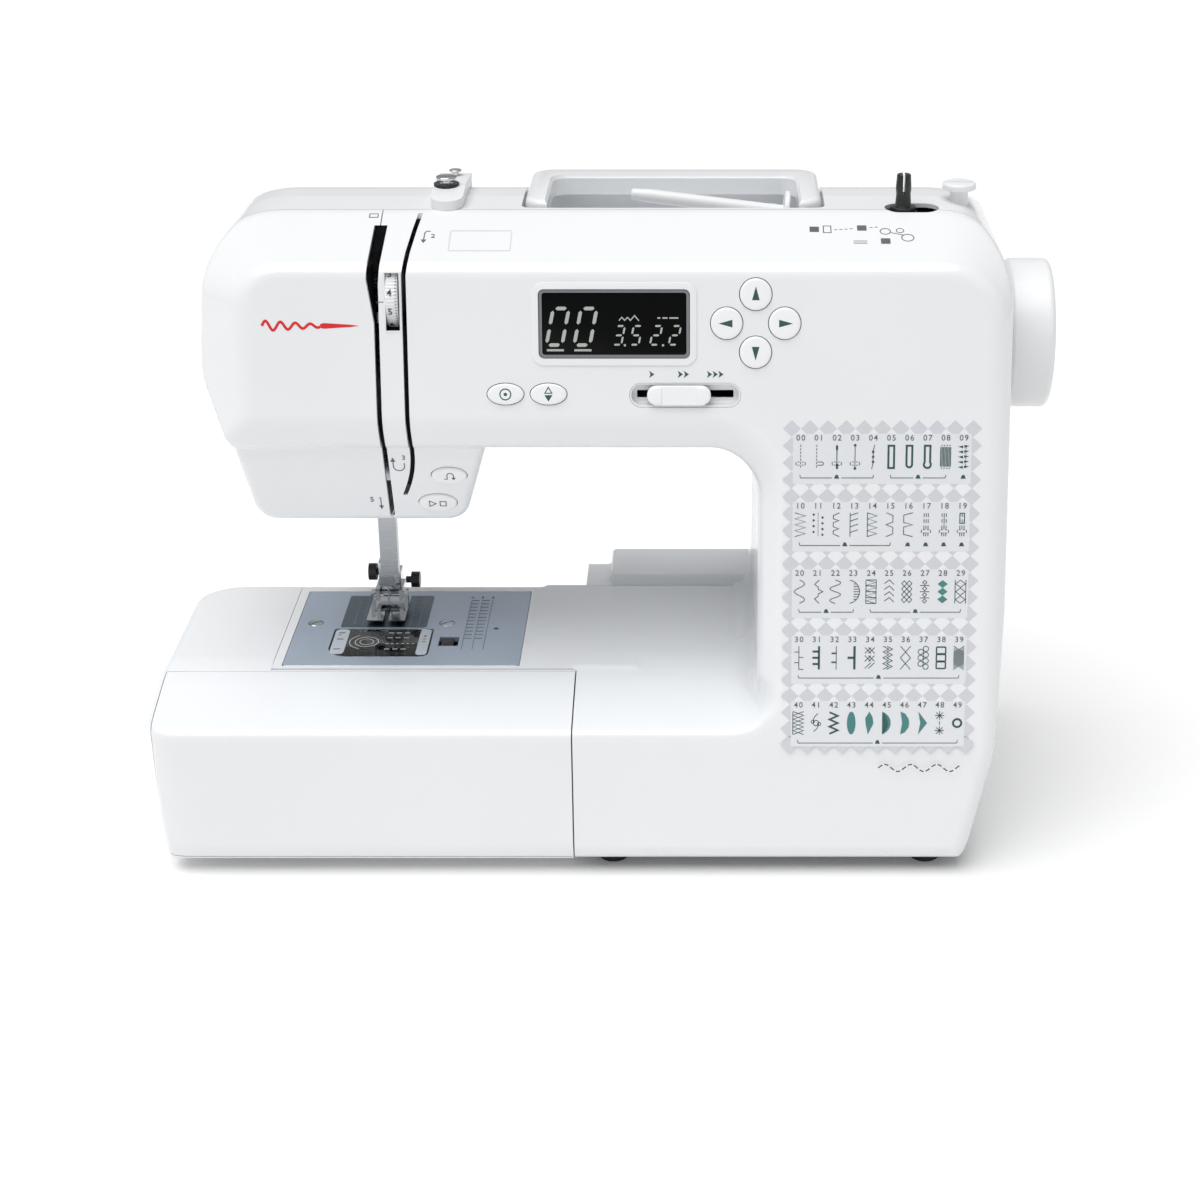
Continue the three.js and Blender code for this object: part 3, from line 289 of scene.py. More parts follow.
def slope_of(p, shape, h=0.25):
    out = np.empty_like(p)
    for i in range(3):
        a, b = p.copy(), p.copy()
        a[:, i] += h
        b[:, i] -= h
        out[:, i] = (shape(*a.T) - shape(*b.T)) / (2 * h)
    return out


def settle(p, shape, level, steps):
    for _ in range(steps):
        g = slope_of(p, shape)
        f = shape(*p.T) - level
        p = p - g * np.clip(f / np.maximum((g * g).sum(1), 0.25), -1.5, 1.5)[:, None]
    return p


# ---------------------------------------------------------------- mesh tools
def link(name, mesh):
    obj = bpy.data.objects.new(name, mesh)
    bpy.context.scene.collection.objects.link(obj)
    return obj


def mesh_from(name, verts, faces, matrix=None):
    """An object from vertices in millimetres."""
    v = np.asarray(verts, float).reshape(-1, 3)
    if matrix is not None:
        m = np.array(matrix)
        v = v @ m[:3, :3].T + m[:3, 3]
    mesh = bpy.data.meshes.new(name)
    if isinstance(faces, np.ndarray):
        mesh.vertices.add(len(v))
        mesh.vertices.foreach_set("co", (v * MM).ravel())
        mesh.loops.add(faces.size)
        mesh.loops.foreach_set("vertex_index", faces.ravel().astype(np.int32))
        mesh.polygons.add(len(faces))
        mesh.polygons.foreach_set("loop_start",
                                  (np.arange(len(faces)) * faces.shape[1]).astype(np.int32))
        mesh.update(calc_edges=True)
    else:
        mesh.from_pydata([tuple(p) for p in v * MM], [], faces)
        mesh.update()
    return link(name, mesh)


def joined(parts):
    """Several (verts, faces) as one."""
    verts, faces, n = [], [], 0
    for v, f in parts:
        verts += [tuple(p) for p in v]
        faces += [tuple(i + n for i in g) for g in f]
        n += len(v)
    return verts, faces


def moved(part, matrix):
    v = np.asarray(part[0], float)
    m = np.array(matrix)
    return v @ m[:3, :3].T + m[:3, 3], part[1]


def normals_of(line):
    p = np.array(line, float)
    a, b = p - np.roll(p, 1, 0), np.roll(p, -1, 0) - p
    a /= np.maximum(np.linalg.norm(a, axis=1), 1e-9)[:, None]
    b /= np.maximum(np.linalg.norm(b, axis=1), 1e-9)[:, None]
    k = 1 + (a * b).sum(1)
    s = a + b
    return np.stack([s[:, 1], -s[:, 0]], 1) / np.maximum(k, 0.3)[:, None]


def stack(line, levels):
    """A solid from one outline (anticlockwise) at several (height, inset) levels."""
    p, n = np.array(line, float), normals_of(line)
    m, verts, faces = len(p), [], []
    for h, inset in levels:
        q = p - n * inset
        verts += [(a, b, h) for a, b in q]
    for i in range(len(levels) - 1):
        for j in range(m):
            k = (j + 1) % m
            faces.append((i * m + j, i * m + k, (i + 1) * m + k, (i + 1) * m + j))
    faces.append(tuple(range(m - 1, -1, -1)))
    faces.append(tuple(range((len(levels) - 1) * m, len(levels) * m)))
    return verts, faces


def soft(z0, z1, r, low=0.0, n=4):
    """Levels for a solid with a round top edge r and a round bottom edge low."""
    out = [(z0 + low * (1 - math.cos(a)), low * (1 - math.sin(a)))
           for a in (math.pi / 2 * i / n for i in range(n + 1))] if low else [(z0, 0)]
    return out + [(z1 - r * (1 - math.sin(a)), r * (1 - math.cos(a)))
                  for a in (math.pi / 2 * i / n for i in range(n + 1))]


def oval(w, h, n=48):
    """An anticlockwise ellipse."""
    return [(w / 2 * math.cos(2 * math.pi * i / n), h / 2 * math.sin(2 * math.pi * i / n))
            for i in range(n)]


def box_line(x0, x1, y0, y1, r=0.0, step=0.6):
    return fillet([(x0, y0, r), (x1, y0, r), (x1, y1, r), (x0, y1, r)], step)


def lathe(profile, n=64):
    """A solid turned about Z from (radius, height), bottom to top; it starts and ends on the axis."""
    verts, rings, faces = [], [], []
    for r, h in profile:
        if r < 1e-6:
            rings.append([len(verts)])
            verts.append((0, 0, h))
        else:
            rings.append(list(range(len(verts), len(verts) + n)))
            verts += [(r * math.cos(2 * math.pi * i / n), r * math.sin(2 * math.pi * i / n), h)
                      for i in range(n)]
    for a, b in zip(rings, rings[1:]):
        for i in range(n):
            j = (i + 1) % n
            if len(a) == 1 and len(b) == 1:
                continue
            if len(a) == 1:
                faces.append((a[0], b[j], b[i]))
            elif len(b) == 1:
                faces.append((a[i], a[j], b[0]))
            else:
                faces.append((a[i], a[j], b[j], b[i]))
    return verts, faces


def turned(corners, n=64, step=0.5):
    """A lathe profile with round corners, from (radius, height, corner radius), axis to axis."""
    closed = [(-30.0, corners[0][1])] + list(corners) + [(-30.0, corners[-1][1])]
    line = fillet(closed, step)
    start = next(i for i, p in enumerate(line) if p[0] >= -1e-9 and abs(p[0] - corners[0][0]) < 1e-6)
    line = [p for p in line[start:] if p[0] >= -1e-9]
    return lathe(line, n)


def ribbon(points, width, closed=False):
    """A flat stroke of even width along points, as quads."""
    p = np.array(points, float)
    if closed:
        a, b = p - np.roll(p, 1, 0), np.roll(p, -1, 0) - p
    else:
        d = np.diff(p, axis=0)
        a, b = np.vstack([d[:1], d]), np.vstack([d, d[-1:]])
    a /= np.maximum(np.linalg.norm(a, axis=1), 1e-9)[:, None]
    b /= np.maximum(np.linalg.norm(b, axis=1), 1e-9)[:, None]
    s = a + b
    k = np.maximum(1 + (a * b).sum(1), 0.35)
    n = np.stack([-s[:, 1], s[:, 0]], 1) / k[:, None] * width / 2
    verts = [(*q, 0) for q in p + n] + [(*q, 0) for q in p - n]
    m = len(p)
    faces = []
    for i in range(m if closed else m - 1):
        j = (i + 1) % m
        faces.append((i, i + m, j + m, j))
    return verts, faces


def patch(line):
    """A flat filled outline."""
    return [(a, b, 0) for a, b in line], [tuple(range(len(line)))]


def thick(part, top, bottom=0.0):
    """A flat part made into a thin closed solid between two heights."""
    verts, faces = part
    bm = bmesh.new()
    vs = [bm.verts.new(v) for v in verts]
    for f in faces:
        if len(set(f)) > 2:
            try:
                bm.faces.new([vs[i] for i in f])
            except ValueError:
                pass
    bmesh.ops.recalc_face_normals(bm, faces=bm.faces)
    for f in bm.faces:
        if f.normal.z < 0:
            f.normal_flip()
    bm.verts.index_update()
    edge = [(e.verts[0].index, e.verts[1].index, e.link_loops[0].vert.index) for e in bm.edges
            if len(e.link_faces) == 1]
    co = [tuple(v.co) for v in bm.verts]
    fs = [tuple(v.index for v in f.verts) for f in bm.faces]
    bm.free()
    n = len(co)
    out = [(x, y, top) for x, y, _ in co] + [(x, y, bottom) for x, y, _ in co]
    faces = fs + [tuple(i + n for i in f[::-1]) for f in fs]
    for a, b, first in edge:
        if first == b:
            a, b = b, a
        faces.append((b, a, a + n, b + n))
    return out, faces


def words(text, size, bold=0.0):
    """Generic figures as a flat part, centred on the origin."""
    curve = bpy.data.curves.new("figures", "FONT")
    curve.body = text
    curve.size = size
    curve.align_x = "CENTER"
    curve.align_y = "CENTER"
    curve.resolution_u = 3
    curve.offset = bold
    obj = link("figures", curve)
    bpy.context.view_layer.update()
    mesh = bpy.data.meshes.new_from_object(obj.evaluated_get(bpy.context.evaluated_depsgraph_get()))
    out = [tuple(v.co) for v in mesh.vertices], [tuple(f.vertices) for f in mesh.polygons]
    bpy.data.objects.remove(obj)
    bpy.data.curves.remove(curve)
    bpy.data.meshes.remove(mesh)
    return out


def at(x, y, z):
    return Matrix.Translation((x, y, z))


def turn(axis, degrees):
    return Matrix.Rotation(math.radians(degrees), 4, axis)


def panel(x, z, out=0.0):
    """Drawing plane on the front panel: local X right, local Y up, local Z out."""
    s, c = math.sin(TILT), math.cos(TILT)
    m = Matrix(((1, 0, 0, x), (0, s, -c, panel_y(z)), (0, c, s, z), (0, 0, 0, 1)))
    return m @ at(0, 0, out)


def head(x, z, out=0.0):
    s, c = math.sin(HEAD_TILT), math.cos(HEAD_TILT)
    m = Matrix(((1, 0, 0, x), (0, -s, -c, head_y(z)), (0, c, -s, z), (0, 0, 0, 1)))
    return m @ at(0, 0, out)


# Turns local Z to X, X to Y and Y to Z.
ALONG_X = Matrix(((0, 0, 1, 0), (1, 0, 0, 0), (0, 1, 0, 0), (0, 0, 0, 1)))


def finish_mesh(obj, angle=32.0, smooth=True):
    mesh = obj.data
    bm = bmesh.new()
    bm.from_mesh(mesh)
    bmesh.ops.remove_doubles(bm, verts=bm.verts, dist=2e-6)
    bmesh.ops.recalc_face_normals(bm, faces=bm.faces)
    bm.to_mesh(mesh)
    bm.free()
    if smooth:
        mesh.shade_smooth()
        mesh.set_sharp_from_angle(angle=math.radians(angle))
    return obj


def solid(part):
    """A closed mesh that booleans can work on."""
    return finish_mesh(mesh_from("solid", *part), smooth=False)


def piece(name, part, material, body, matrix=None, angle=32.0, clean=True):
    """A finished piece of the machine on a body."""
    obj = part if isinstance(part, bpy.types.Object) else mesh_from(name, part[0], part[1], matrix)
    obj.name = name
    if clean:
        finish_mesh(obj, angle)
    obj.data.materials.clear()
    obj.data.materials.append(material)
    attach(obj, body)
    return obj


def boolean(obj, tool, operation="DIFFERENCE", keep=False):
    """Cuts, joins or meets a mesh with another one."""
    if not isinstance(tool, bpy.types.Object):
        tool = solid(tool)
    mod = obj.modifiers.new("cut", "BOOLEAN")
    mod.object = tool
    mod.operation = operation
    mod.solver = "MANIFOLD"
    bpy.context.view_layer.update()
    mesh = bpy.data.meshes.new_from_object(obj.evaluated_get(bpy.context.evaluated_depsgraph_get()))
    obj.modifiers.clear()
    old = obj.data
    obj.data = mesh
    if old.users == 0:
        bpy.data.meshes.remove(old)
    if not keep:
        bpy.data.objects.remove(tool)
    return obj


def bar(x0, x1, y0, y1, z0, z1):
    return stack([(x0, y0), (x1, y0), (x1, y1), (x0, y1)], [(z0, 0), (z1, 0)])


def prism_y(line, y0, y1):
    """An outline in (x, z) run along Y."""
    m = Matrix(((1, 0, 0, 0), (0, 0, -1, 0), (0, 1, 0, 0), (0, 0, 0, 1)))
    return moved(stack(line, [(-y1, 0), (-y0, 0)]), m)


def prism_x(line, x0, x1):
    """An outline in (y, z) run along X."""
    return moved(stack(line, [(x0, 0), (x1, 0)]), ALONG_X)


# ---------------------------------------------------------------- materials
def rgb(r, g, b):
    return tuple((c / 255) / 12.92 if c <= 10 else ((c / 255 + 0.055) / 1.055) ** 2.4
                 for c in (r, g, b)) + (1.0,)


def shade(c, k):
    return (min(c[0] * k, 1), min(c[1] * k, 1), min(c[2] * k, 1), 1.0)


def material(name, color, rough, metal=0.0, vary=0.03, cloud=9.0, rough_vary=0.06, grain=900.0,
             bump=0.02, stretch=None, coat=0.0, clear=0.0, ior=1.5, glow=0.0, spec=0.5):
    """Moulded, brushed or glossy stock: slow colour drift, uneven gloss and a fine surface grain."""
    m = bpy.data.materials.new(name)
    m.use_nodes = True
    t = m.node_tree
    b = t.nodes["Principled BSDF"]
    b.inputs["Base Color"].default_value = color
    b.inputs["Roughness"].default_value = rough
    b.inputs["Metallic"].default_value = metal
    b.inputs["IOR"].default_value = ior
    b.inputs["Transmission Weight"].default_value = clear
    b.inputs["Coat Weight"].default_value = coat
    b.inputs["Coat Roughness"].default_value = 0.06
    b.inputs["Specular IOR Level"].default_value = spec
    if glow:
        b.inputs["Emission Color"].default_value = color
        b.inputs["Emission Strength"].default_value = glow
    place = t.nodes.new("ShaderNodeTexCoord")
    source = place.outputs["Object"]

    def noise(scale, detail, shape=None, kind="ShaderNodeTexNoise"):
        tex = t.nodes.new(kind)
        tex.inputs["Scale"].default_value = scale
        tex.inputs["Detail"].default_value = detail
        out = source
        if shape:
            mapping = t.nodes.new("ShaderNodeMapping")
            mapping.inputs["Scale"].default_value = shape
            t.links.new(source, mapping.inputs["Vector"])
            out = mapping.outputs["Vector"]
        t.links.new(out, tex.inputs["Vector"])
        return tex.outputs["Fac"]

    slow = noise(cloud, 3.0)
    ramp = t.nodes.new("ShaderNodeValToRGB")
    ramp.color_ramp.elements[0].position = 0.3
    ramp.color_ramp.elements[1].position = 0.7
    ramp.color_ramp.elements[0].color = shade(color, 1 - vary)
    ramp.color_ramp.elements[1].color = shade(color, 1 + vary)
    t.links.new(slow, ramp.inputs["Fac"])
    t.links.new(ramp.outputs["Color"], b.inputs["Base Color"])
    gloss = t.nodes.new("ShaderNodeMapRange")
    gloss.inputs["To Min"].default_value = max(rough - rough_vary, 0.02)
    gloss.inputs["To Max"].default_value = rough + rough_vary
    t.links.new(noise(cloud * 6, 4.0, stretch), gloss.inputs["Value"])
    t.links.new(gloss.outputs["Result"], b.inputs["Roughness"])
    if bump:
        relief = t.nodes.new("ShaderNodeBump")
        relief.inputs["Strength"].default_value = bump
        relief.inputs["Distance"].default_value = 0.0002
        t.links.new(noise(grain, 2.0, stretch), relief.inputs["Height"])
        t.links.new(relief.outputs["Normal"], b.inputs["Normal"])
    return m


WHITE = material("white_abs", rgb(232, 234, 236), 0.2, vary=0.012, bump=0.03, coat=0.25)
SOFT_WHITE = material("white_satin", rgb(230, 231, 232), 0.34, vary=0.015, bump=0.06)
CAP = material("button_abs", rgb(238, 239, 240), 0.3, vary=0.012, bump=0.08, grain=1400)
LINER = material("dark_liner", rgb(30, 31, 33), 0.6, vary=0.15, bump=0.2)
BLACK = material("black_abs", rgb(24, 25, 27), 0.34, vary=0.2, bump=0.12)
GREY = material("grey_abs", rgb(120, 124, 128), 0.42, vary=0.05, bump=0.12)
DARK = material("dark_abs", rgb(52, 54, 57), 0.45, vary=0.1, bump=0.15)
RUBBER = material("rubber", rgb(34, 35, 36), 0.86, vary=0.2, bump=0.5, grain=500)
PLATE = material("brushed_plate", rgb(184, 197, 213), 0.32, metal=0.55, vary=0.05, cloud=14, bump=0.25,
                 grain=700, stretch=(1, 26, 1), rough_vary=0.09)
PLATE_DARK = material("brushed_plate_dark", rgb(112, 126, 136), 0.34, metal=1.0, vary=0.06, cloud=14,
                      bump=0.25, grain=700, stretch=(1, 26, 1), rough_vary=0.09)
STEEL = material("turned_steel", rgb(170, 173, 177), 0.28, metal=1.0, vary=0.06, bump=0.16,
                 stretch=(1, 1, 30), rough_vary=0.08)
CHROME = material("chrome", rgb(214, 217, 220), 0.12, metal=1.0, vary=0.03, bump=0.03, rough_vary=0.05)
CAST = material("cast_alloy", rgb(150, 153, 157), 0.52, metal=1.0, vary=0.08, bump=0.6, grain=420,
                rough_vary=0.12)
MOTOR = material("motor_steel", rgb(96, 100, 104), 0.46, metal=1.0, vary=0.1, bump=0.3)
GLASS = material("display_glass", rgb(6, 7, 8), 0.16, vary=0.3, bump=0.0, rough_vary=0.03, spec=0.12)
CLEAR = material("clear_acrylic", rgb(236, 241, 243), 0.06, vary=0.01, bump=0.02, clear=1.0, ior=1.49,
                 rough_vary=0.03)
BOARD = material("circuit_board", rgb(38, 104, 66), 0.5, vary=0.14, cloud=40, bump=0.2)
INK = material("ink_green_grey", rgb(46, 78, 78), 0.5, vary=0.1, cloud=60, bump=0.05)
INK_TEAL = material("ink_teal", rgb(70, 128, 126), 0.5, vary=0.1, cloud=60, bump=0.05)
INK_GREY = material("ink_grey", rgb(88, 94, 97), 0.5, vary=0.08, cloud=60, bump=0.05)
INK_PLATE = material("ink_plate", rgb(120, 130, 142), 0.45, vary=0.08, cloud=60, bump=0.05)
FROST = material("frosted_rim", rgb(190, 198, 207), 0.32, vary=0.02, cloud=40, bump=0.1)
INK_RED = material("ink_red", rgb(214, 32, 38), 0.42, vary=0.05, cloud=60, bump=0.05)
INK_LINE = material("ink_line", rgb(206, 208, 211), 0.4, vary=0.03, cloud=60, bump=0.05)
TINT = material("chart_tint", rgb(222, 224, 227), 0.3, vary=0.012, bump=0.04)
TINT_DARK = material("chart_tint_dark", rgb(206, 207, 212), 0.32, vary=0.012, bump=0.04)
TINT_LIGHT = material("chart_tint_light", rgb(232, 234, 236), 0.3, vary=0.012, bump=0.04)
SEGMENT = material("display_segment", rgb(165, 168, 163), 0.4, vary=0.06, cloud=80, bump=0.0, glow=0.12)
LED = material("lamp_lens", rgb(246, 244, 232), 0.2, vary=0.02, bump=0.2, glow=0.4)
FLOOR = material("floor", rgb(240, 240, 240), 0.6, vary=0.002, cloud=2, bump=0.0, glow=0.08, spec=0.1)

# ---------------------------------------------------------------- covers
GRID = 1.7
LO, HI = (-176, -94, 1), (183, 94, 291)
outer = mesh_from("outer", *surface(body_shape, LO, HI, GRID))
inner = mesh_from("inner", *surface(body_shape, LO, HI, 4.0, -2.5))
for o in (outer, inner):
    finish_mesh(o, smooth=False)
for tool in (bar(-190, TABLE_R + 0.3, -100, ARM_F, -5, 90),
             bar(-190, TABLE_R + 0.3, ARM_B, 100, -5, 100), bar(-190, TABLE_R + 0.3, -100, 100, -5, 30),
             bar(-190, -150, -100, 100, -5, 100)):
    boolean(outer, tool)
boolean(inner, bar(-190, TABLE_R + 2.8, -100, 100, -5, 100))
arm_room = bar(-147.5, TABLE_R + 12, ARM_F + 2.5, ARM_B - 2.5, 32.5, 77.5)
step_room = bar(2.5, PILLAR + 12, 57.5, 85, 74, 84)


def hollow(obj):
    boolean(obj, inner, keep=True)
    boolean(obj, arm_room)
    boolean(obj, step_room)
    return boolean(obj, bar(TABLE_R + 3, BODY_R - 15, -83, 84, -20, 8.2))


hollow(outer)


def copy_of(obj, name):
    new = obj.copy()
    new.data = obj.data.copy()
    new.name = name
    bpy.context.scene.collection.objects.link(new)
    return new


def oval_cut(matrix, w, h, depth=12, up=6):
    return moved(stack(oval(w, h), [(-depth, 0), (up, 0)]), matrix)


DIAL_X, DIAL_Y, DIAL_Z, DIAL_R = -85, -40, 255, 14.0
DIAL = ALONG_X @ at(DIAL_Y, DIAL_Z, DIAL_X)
SHAFT = ALONG_X @ at(20, 219.5, 0)
SPOOL_X, SPOOL_Y = 75, 15
SPOOL = at(SPOOL_X, SPOOL_Y, 274)
KEY_X, KEY_Z, KEY_STEP = 67.8, 246.27, 12.2
BUTTONS = [
    ("key_up", panel(KEY_X, KEY_Z + KEY_STEP * math.cos(TILT)), 13.4, 13.4, "key_up_cap"),
    ("key_down", panel(KEY_X, KEY_Z - KEY_STEP * math.cos(TILT)), 13.4, 13.4, "key_down_cap"),
    ("key_left", panel(KEY_X - KEY_STEP, KEY_Z), 13.4, 13.4, "key_left_cap"),
    ("key_right", panel(KEY_X + KEY_STEP, KEY_Z), 13.4, 13.4, "key_right_cap"),
    ("lock_button", panel(-37.9, 216.8), 15.4, 9.0, "lock_button_cap"),
    ("needle_position_button", panel(-19.7, 216.8), 15.4, 9.0, "needle_position_button_cap"),
    ("reverse_button", head(-64.8, 175.3), 15.4, 9.0, "reverse_button_cap"),
    ("start_stop_button", head(-70.9, 160.5), 16.6, 9.6, "start_stop_button_cap"),
]
LCD = panel(8.3, 246.0)
SPEED = panel(38.1, 216.3)
SLOT_TOP = TOP - 6
DIAL_WINDOW = panel(-84.7, 255.0)
left_slot = fillet([(SLOT_A - 0.7, HEAD + 3.4, 1), (SLOT_A + 1.5, HEAD + 3.4, 1),
                    (SLOT_A + 1.5, TOP - 24, 6), (SLOT_A + 3.0, SLOT_TOP), (SLOT_A - 2.6, SLOT_TOP),
                    (SLOT_A - 3.6, TOP - 22, 3), (SLOT_A - 0.7, TOP - 40, 14)])
bend = [(SLOT_B - 0.1 - 5.2 * t * t, HEAD + 38 - 23 * t) for t in (i / 10 for i in range(11))]
bend = [(SLOT_B + 4.4, TOP - 2.2), (SLOT_B + 2.6, TOP - 7), (SLOT_B + 0.9, TOP - 13),
        (SLOT_B - 0.1, TOP - 20)] + bend
right_slot = [(x - 1.0, z) for x, z in bend] + [(x + 1.0, z) for x, z in bend[::-1]]


G = 0.22
big = 400
front_box = bar(-big, big, -big, SEAM - G, -50, big)
bed_box = bar(-big, PILLAR - 1, SEAM - 2, ARM_B - 1 - G, -50, BED + 0.6)
face_box = bar(-big, SLOT_A - G, -big, SEAM - G, HEAD - 5, big)
under_arm = bar(-big, TABLE_R - 0.15, -big, big, -50, 77.3)

face = boolean(copy_of(outer, "face"), face_box, "INTERSECT")
front = copy_of(outer, "front")
half = solid(front_box)
boolean(half, bed_box, "UNION")
boolean(front, half, "INTERSECT", keep=True)
boolean(front, bar(-big, SLOT_A + G, -big, SEAM + G, HEAD - 6, big))
boolean(front, under_arm)
rear = copy_of(outer, "rear")
grown = solid(bar(-big, big, -big, SEAM + G, -50, big))
boolean(grown, bar(-big, PILLAR - 1 + 2 * G, SEAM - 2, ARM_B - 1 + G, -50, BED + 0.8), "UNION")
boolean(rear, grown)
boolean(rear, under_arm)
arm_part = boolean(copy_of(outer, "arm"), bar(-big, TABLE_R - 0.3, -big, big, -50, 76.9), "INTERSECT")

for obj in (face, front):
    boolean(obj, prism_y(left_slot, -95, SEAM - 8))
for tool in (prism_y(right_slot, -95, SEAM - 4),
             moved(stack(box_line(-3.2, 3.2, -12.3, 12.3, 0.3), [(-12, 0), (6, 0)]), DIAL_WINDOW),
             moved(stack(box_line(-33.4, 33.4, -15.9, 15.9, 2.2), [(-9, 0), (6, 0)]), LCD),
             moved(stack(box_line(-23.6, 23.6, -5.3, 5.3, 5.25), [(-9, 0), (6, 0)]), SPEED),
             moved(stack(oval(29.4, 29.4), [(-2.9, 0), (2.9, 0)]), DIAL),
             bar(NX + 9, NX + 65, ARM_F - 5, 60, 60, 70),
             bar(-145.9, -37.8, -38.2, 47.2, 70, 90)):
    boolean(front, tool)
for _, m, w, h, _b in BUTTONS:
    boolean(front, oval_cut(m, w + 0.7, h + 0.7))

WELL = (-33.0, 98.3, -7.4, 59.0, 262.0)
well_block = boolean(solid(bar(WELL[0] - 2.5, WELL[1] + 2.5, SEAM + G, WELL[3] + 2.5, WELL[4] - 2.5, TOP
                               + 9)), solid(surface(body_shape, (-60, -60, 250), (120, 90, 292), 2.5)),
                     "INTERSECT")
boolean(rear, well_block, "UNION")
boolean(rear, stack(box_line(WELL[0], WELL[1], WELL[2], WELL[3], 4.0), [(WELL[4], 0), (TOP + 9, 0)]))
WINDER = (132.0, -7.0)
SIDE_Y, SWITCH_Z, SOCKET_Z = 6.0, 113.5, 83.5
winder_slot = fillet([(WINDER[0] - 8, WINDER[1] - 6.4, 6.3), (WINDER[0] + 15.5, WINDER[1] - 6.4, 6.3),
                      (WINDER[0] + 15.5, WINDER[1] + 6.4, 6.3), (WINDER[0] - 8, WINDER[1] + 6.4, 6.3)])
for obj in (front, rear):
    boolean(obj, stack(winder_slot, [(TOP - 12, 0), (TOP + 6, 0)]))
for tool in (bar(BODY_R - 8, BODY_R + 5, SIDE_Y - 7, SIDE_Y + 7, SWITCH_Z - 10, SWITCH_Z + 10),
             bar(BODY_R - 8, BODY_R + 5, SIDE_Y - 13, SIDE_Y + 13, SOCKET_Z - 9.5, SOCKET_Z + 9.5),
             moved(stack(oval(16, 16), [(BODY_R - 8, 0), (BODY_R + 5, 0)]), SHAFT),
             bar(NX - 13, NX + 9, 8, 44.3, HEAD - 5, HEAD + 8),
             bar(-95.5, -85.5, 50, 63, HEAD - 5, HEAD + 38),
             bar(-124, -118, -5, 5, HEAD - 5, HEAD + 8),
             bar(-62, -40, ARM_B - 8, ARM_B + 5, 57, 63)):
    boolean(rear, tool)
for y in (SPOOL_Y - 6.8, SPOOL_Y + 6.8):
    boolean(rear, bar(SPOOL_X - 3, SPOOL_X + 3, y - 1.4, y + 1.4, 260, 278), "UNION")
boolean(arm_part, bar(-62, -40, ARM_B - 8, ARM_B + 5, 57, 63))

face_shell = piece("face_shell", face, WHITE, "frame")
front_shell = piece("front_shell", front, WHITE, "frame")
rear_shell = piece("rear_shell", rear, WHITE, "frame")
arm_shell = piece("free_arm_shell", arm_part, WHITE, "frame")
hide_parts("face_cover")
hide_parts("front_cover")
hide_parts("rear_cover")
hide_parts("free_arm_cover")

# ---------------------------------------------------------------- extension table
t_outer = solid(surface(table_shape, (-206, -94, 1), (6, 60, 85), GRID))
t_inner = solid(surface(table_shape, (-206, -94, 1), (6, 60, 85), 3.5, -2.5))
boolean(t_outer, bar(TABLE_R - 0.3, 40, -100, 100, -5, 100))
LID_F = CHAMFER_Y + 9.7
boolean(t_outer, t_inner)
lid = boolean(copy_of(t_outer, "lid"), bar(LEFT + 4, TABLE_R + 5, -100, LID_F, 9, 90), "INTERSECT")
table = boolean(t_outer, bar(LEFT + 3.6, TABLE_R + 5, -100, LID_F + 0.4, 8.6, 90))
# The inner back and end walls of the box.
boolean(table, bar(LEFT + 12, TABLE_R - 0.4, ARM_F - 2.9, ARM_F - 0.3, 9.5, BED - 1.5), "UNION")
boolean(table, bar(TABLE_R - 2.9, TABLE_R - 0.4, -78, ARM_F - 0.3, 9.5, BED - 16), "UNION")
boolean(table, bar(-150.3, TABLE_R + 5, ARM_F - 0.3, 100, -5, BED + 5))
table_shell = piece("table_shell", table, WHITE, "table")
lid_shell = piece("lid_shell", lid, WHITE, "lid")
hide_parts("extension_table")
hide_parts("accessory_lid")
for o in [o for o in bpy.data.objects if o.type == "MESH" and "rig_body" not in o]:
    bpy.data.objects.remove(o)


# ---------------------------------------------------------------- printed marks
def mark(name, parts, material, body="frame", matrix=None, top=0.06, bottom=-0.05):
    """Ink: flat parts made a hair thick and laid on a drawing plane."""
    ink = joined([thick(p, top, bottom) for p in parts])
    return piece(name, ink, material, body, matrix, clean=False)


def put(part, x=0.0, y=0.0, k=1.0, a=0.0):
    c, s = math.cos(math.radians(a)) * k, math.sin(math.radians(a)) * k
    return [(x + c * u - s * v, y + s * u + c * v, 0) for u, v, *_ in part[0]], part[1]


def drape(obj, shape, lift):
    """Lays thin marks on a curved surface."""
    n = len(obj.data.vertices)
    co = np.empty(n * 3)
    obj.data.vertices.foreach_get("co", co)
    co = settle(co.reshape(-1, 3) / MM, shape, lift, 6)
    obj.data.vertices.foreach_set("co", (co * MM).ravel())
    obj.data.update()
    return obj


def inked(name, parts, material, matrix, body="frame", lift=0.07):
    """Marks laid on the curved covers."""
    obj = mesh_from(name, *joined([put_fine(p) for p in parts]), matrix)
    drape(obj, body_shape, lift)
    mod = obj.modifiers.new("sheet", "SOLIDIFY")
    mod.thickness = 0.1 * MM
    mod.offset = 0
    obj.data.materials.append(material)
    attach(obj, body)
    return obj


def put_fine(part):
    """A flat part with its long strokes cut short, so that it can bend."""
    bm = bmesh.new()
    vs = [bm.verts.new(v) for v in part[0]]
    for f in part[1]:
        try:
            bm.faces.new([vs[i] for i in f])
        except ValueError:
            pass
    long = [e for e in bm.edges if e.calc_length() > 3.0]
    if long:
        bmesh.ops.subdivide_edges(bm, edges=long, cuts=3, use_grid_fill=True)
    bmesh.ops.triangulate(bm, faces=[f for f in bm.faces if len(f.verts) > 4])
    bm.verts.index_update()
    out = [tuple(v.co) for v in bm.verts], [tuple(v.index for v in f.verts) for f in bm.faces]
    bm.free()
    return out


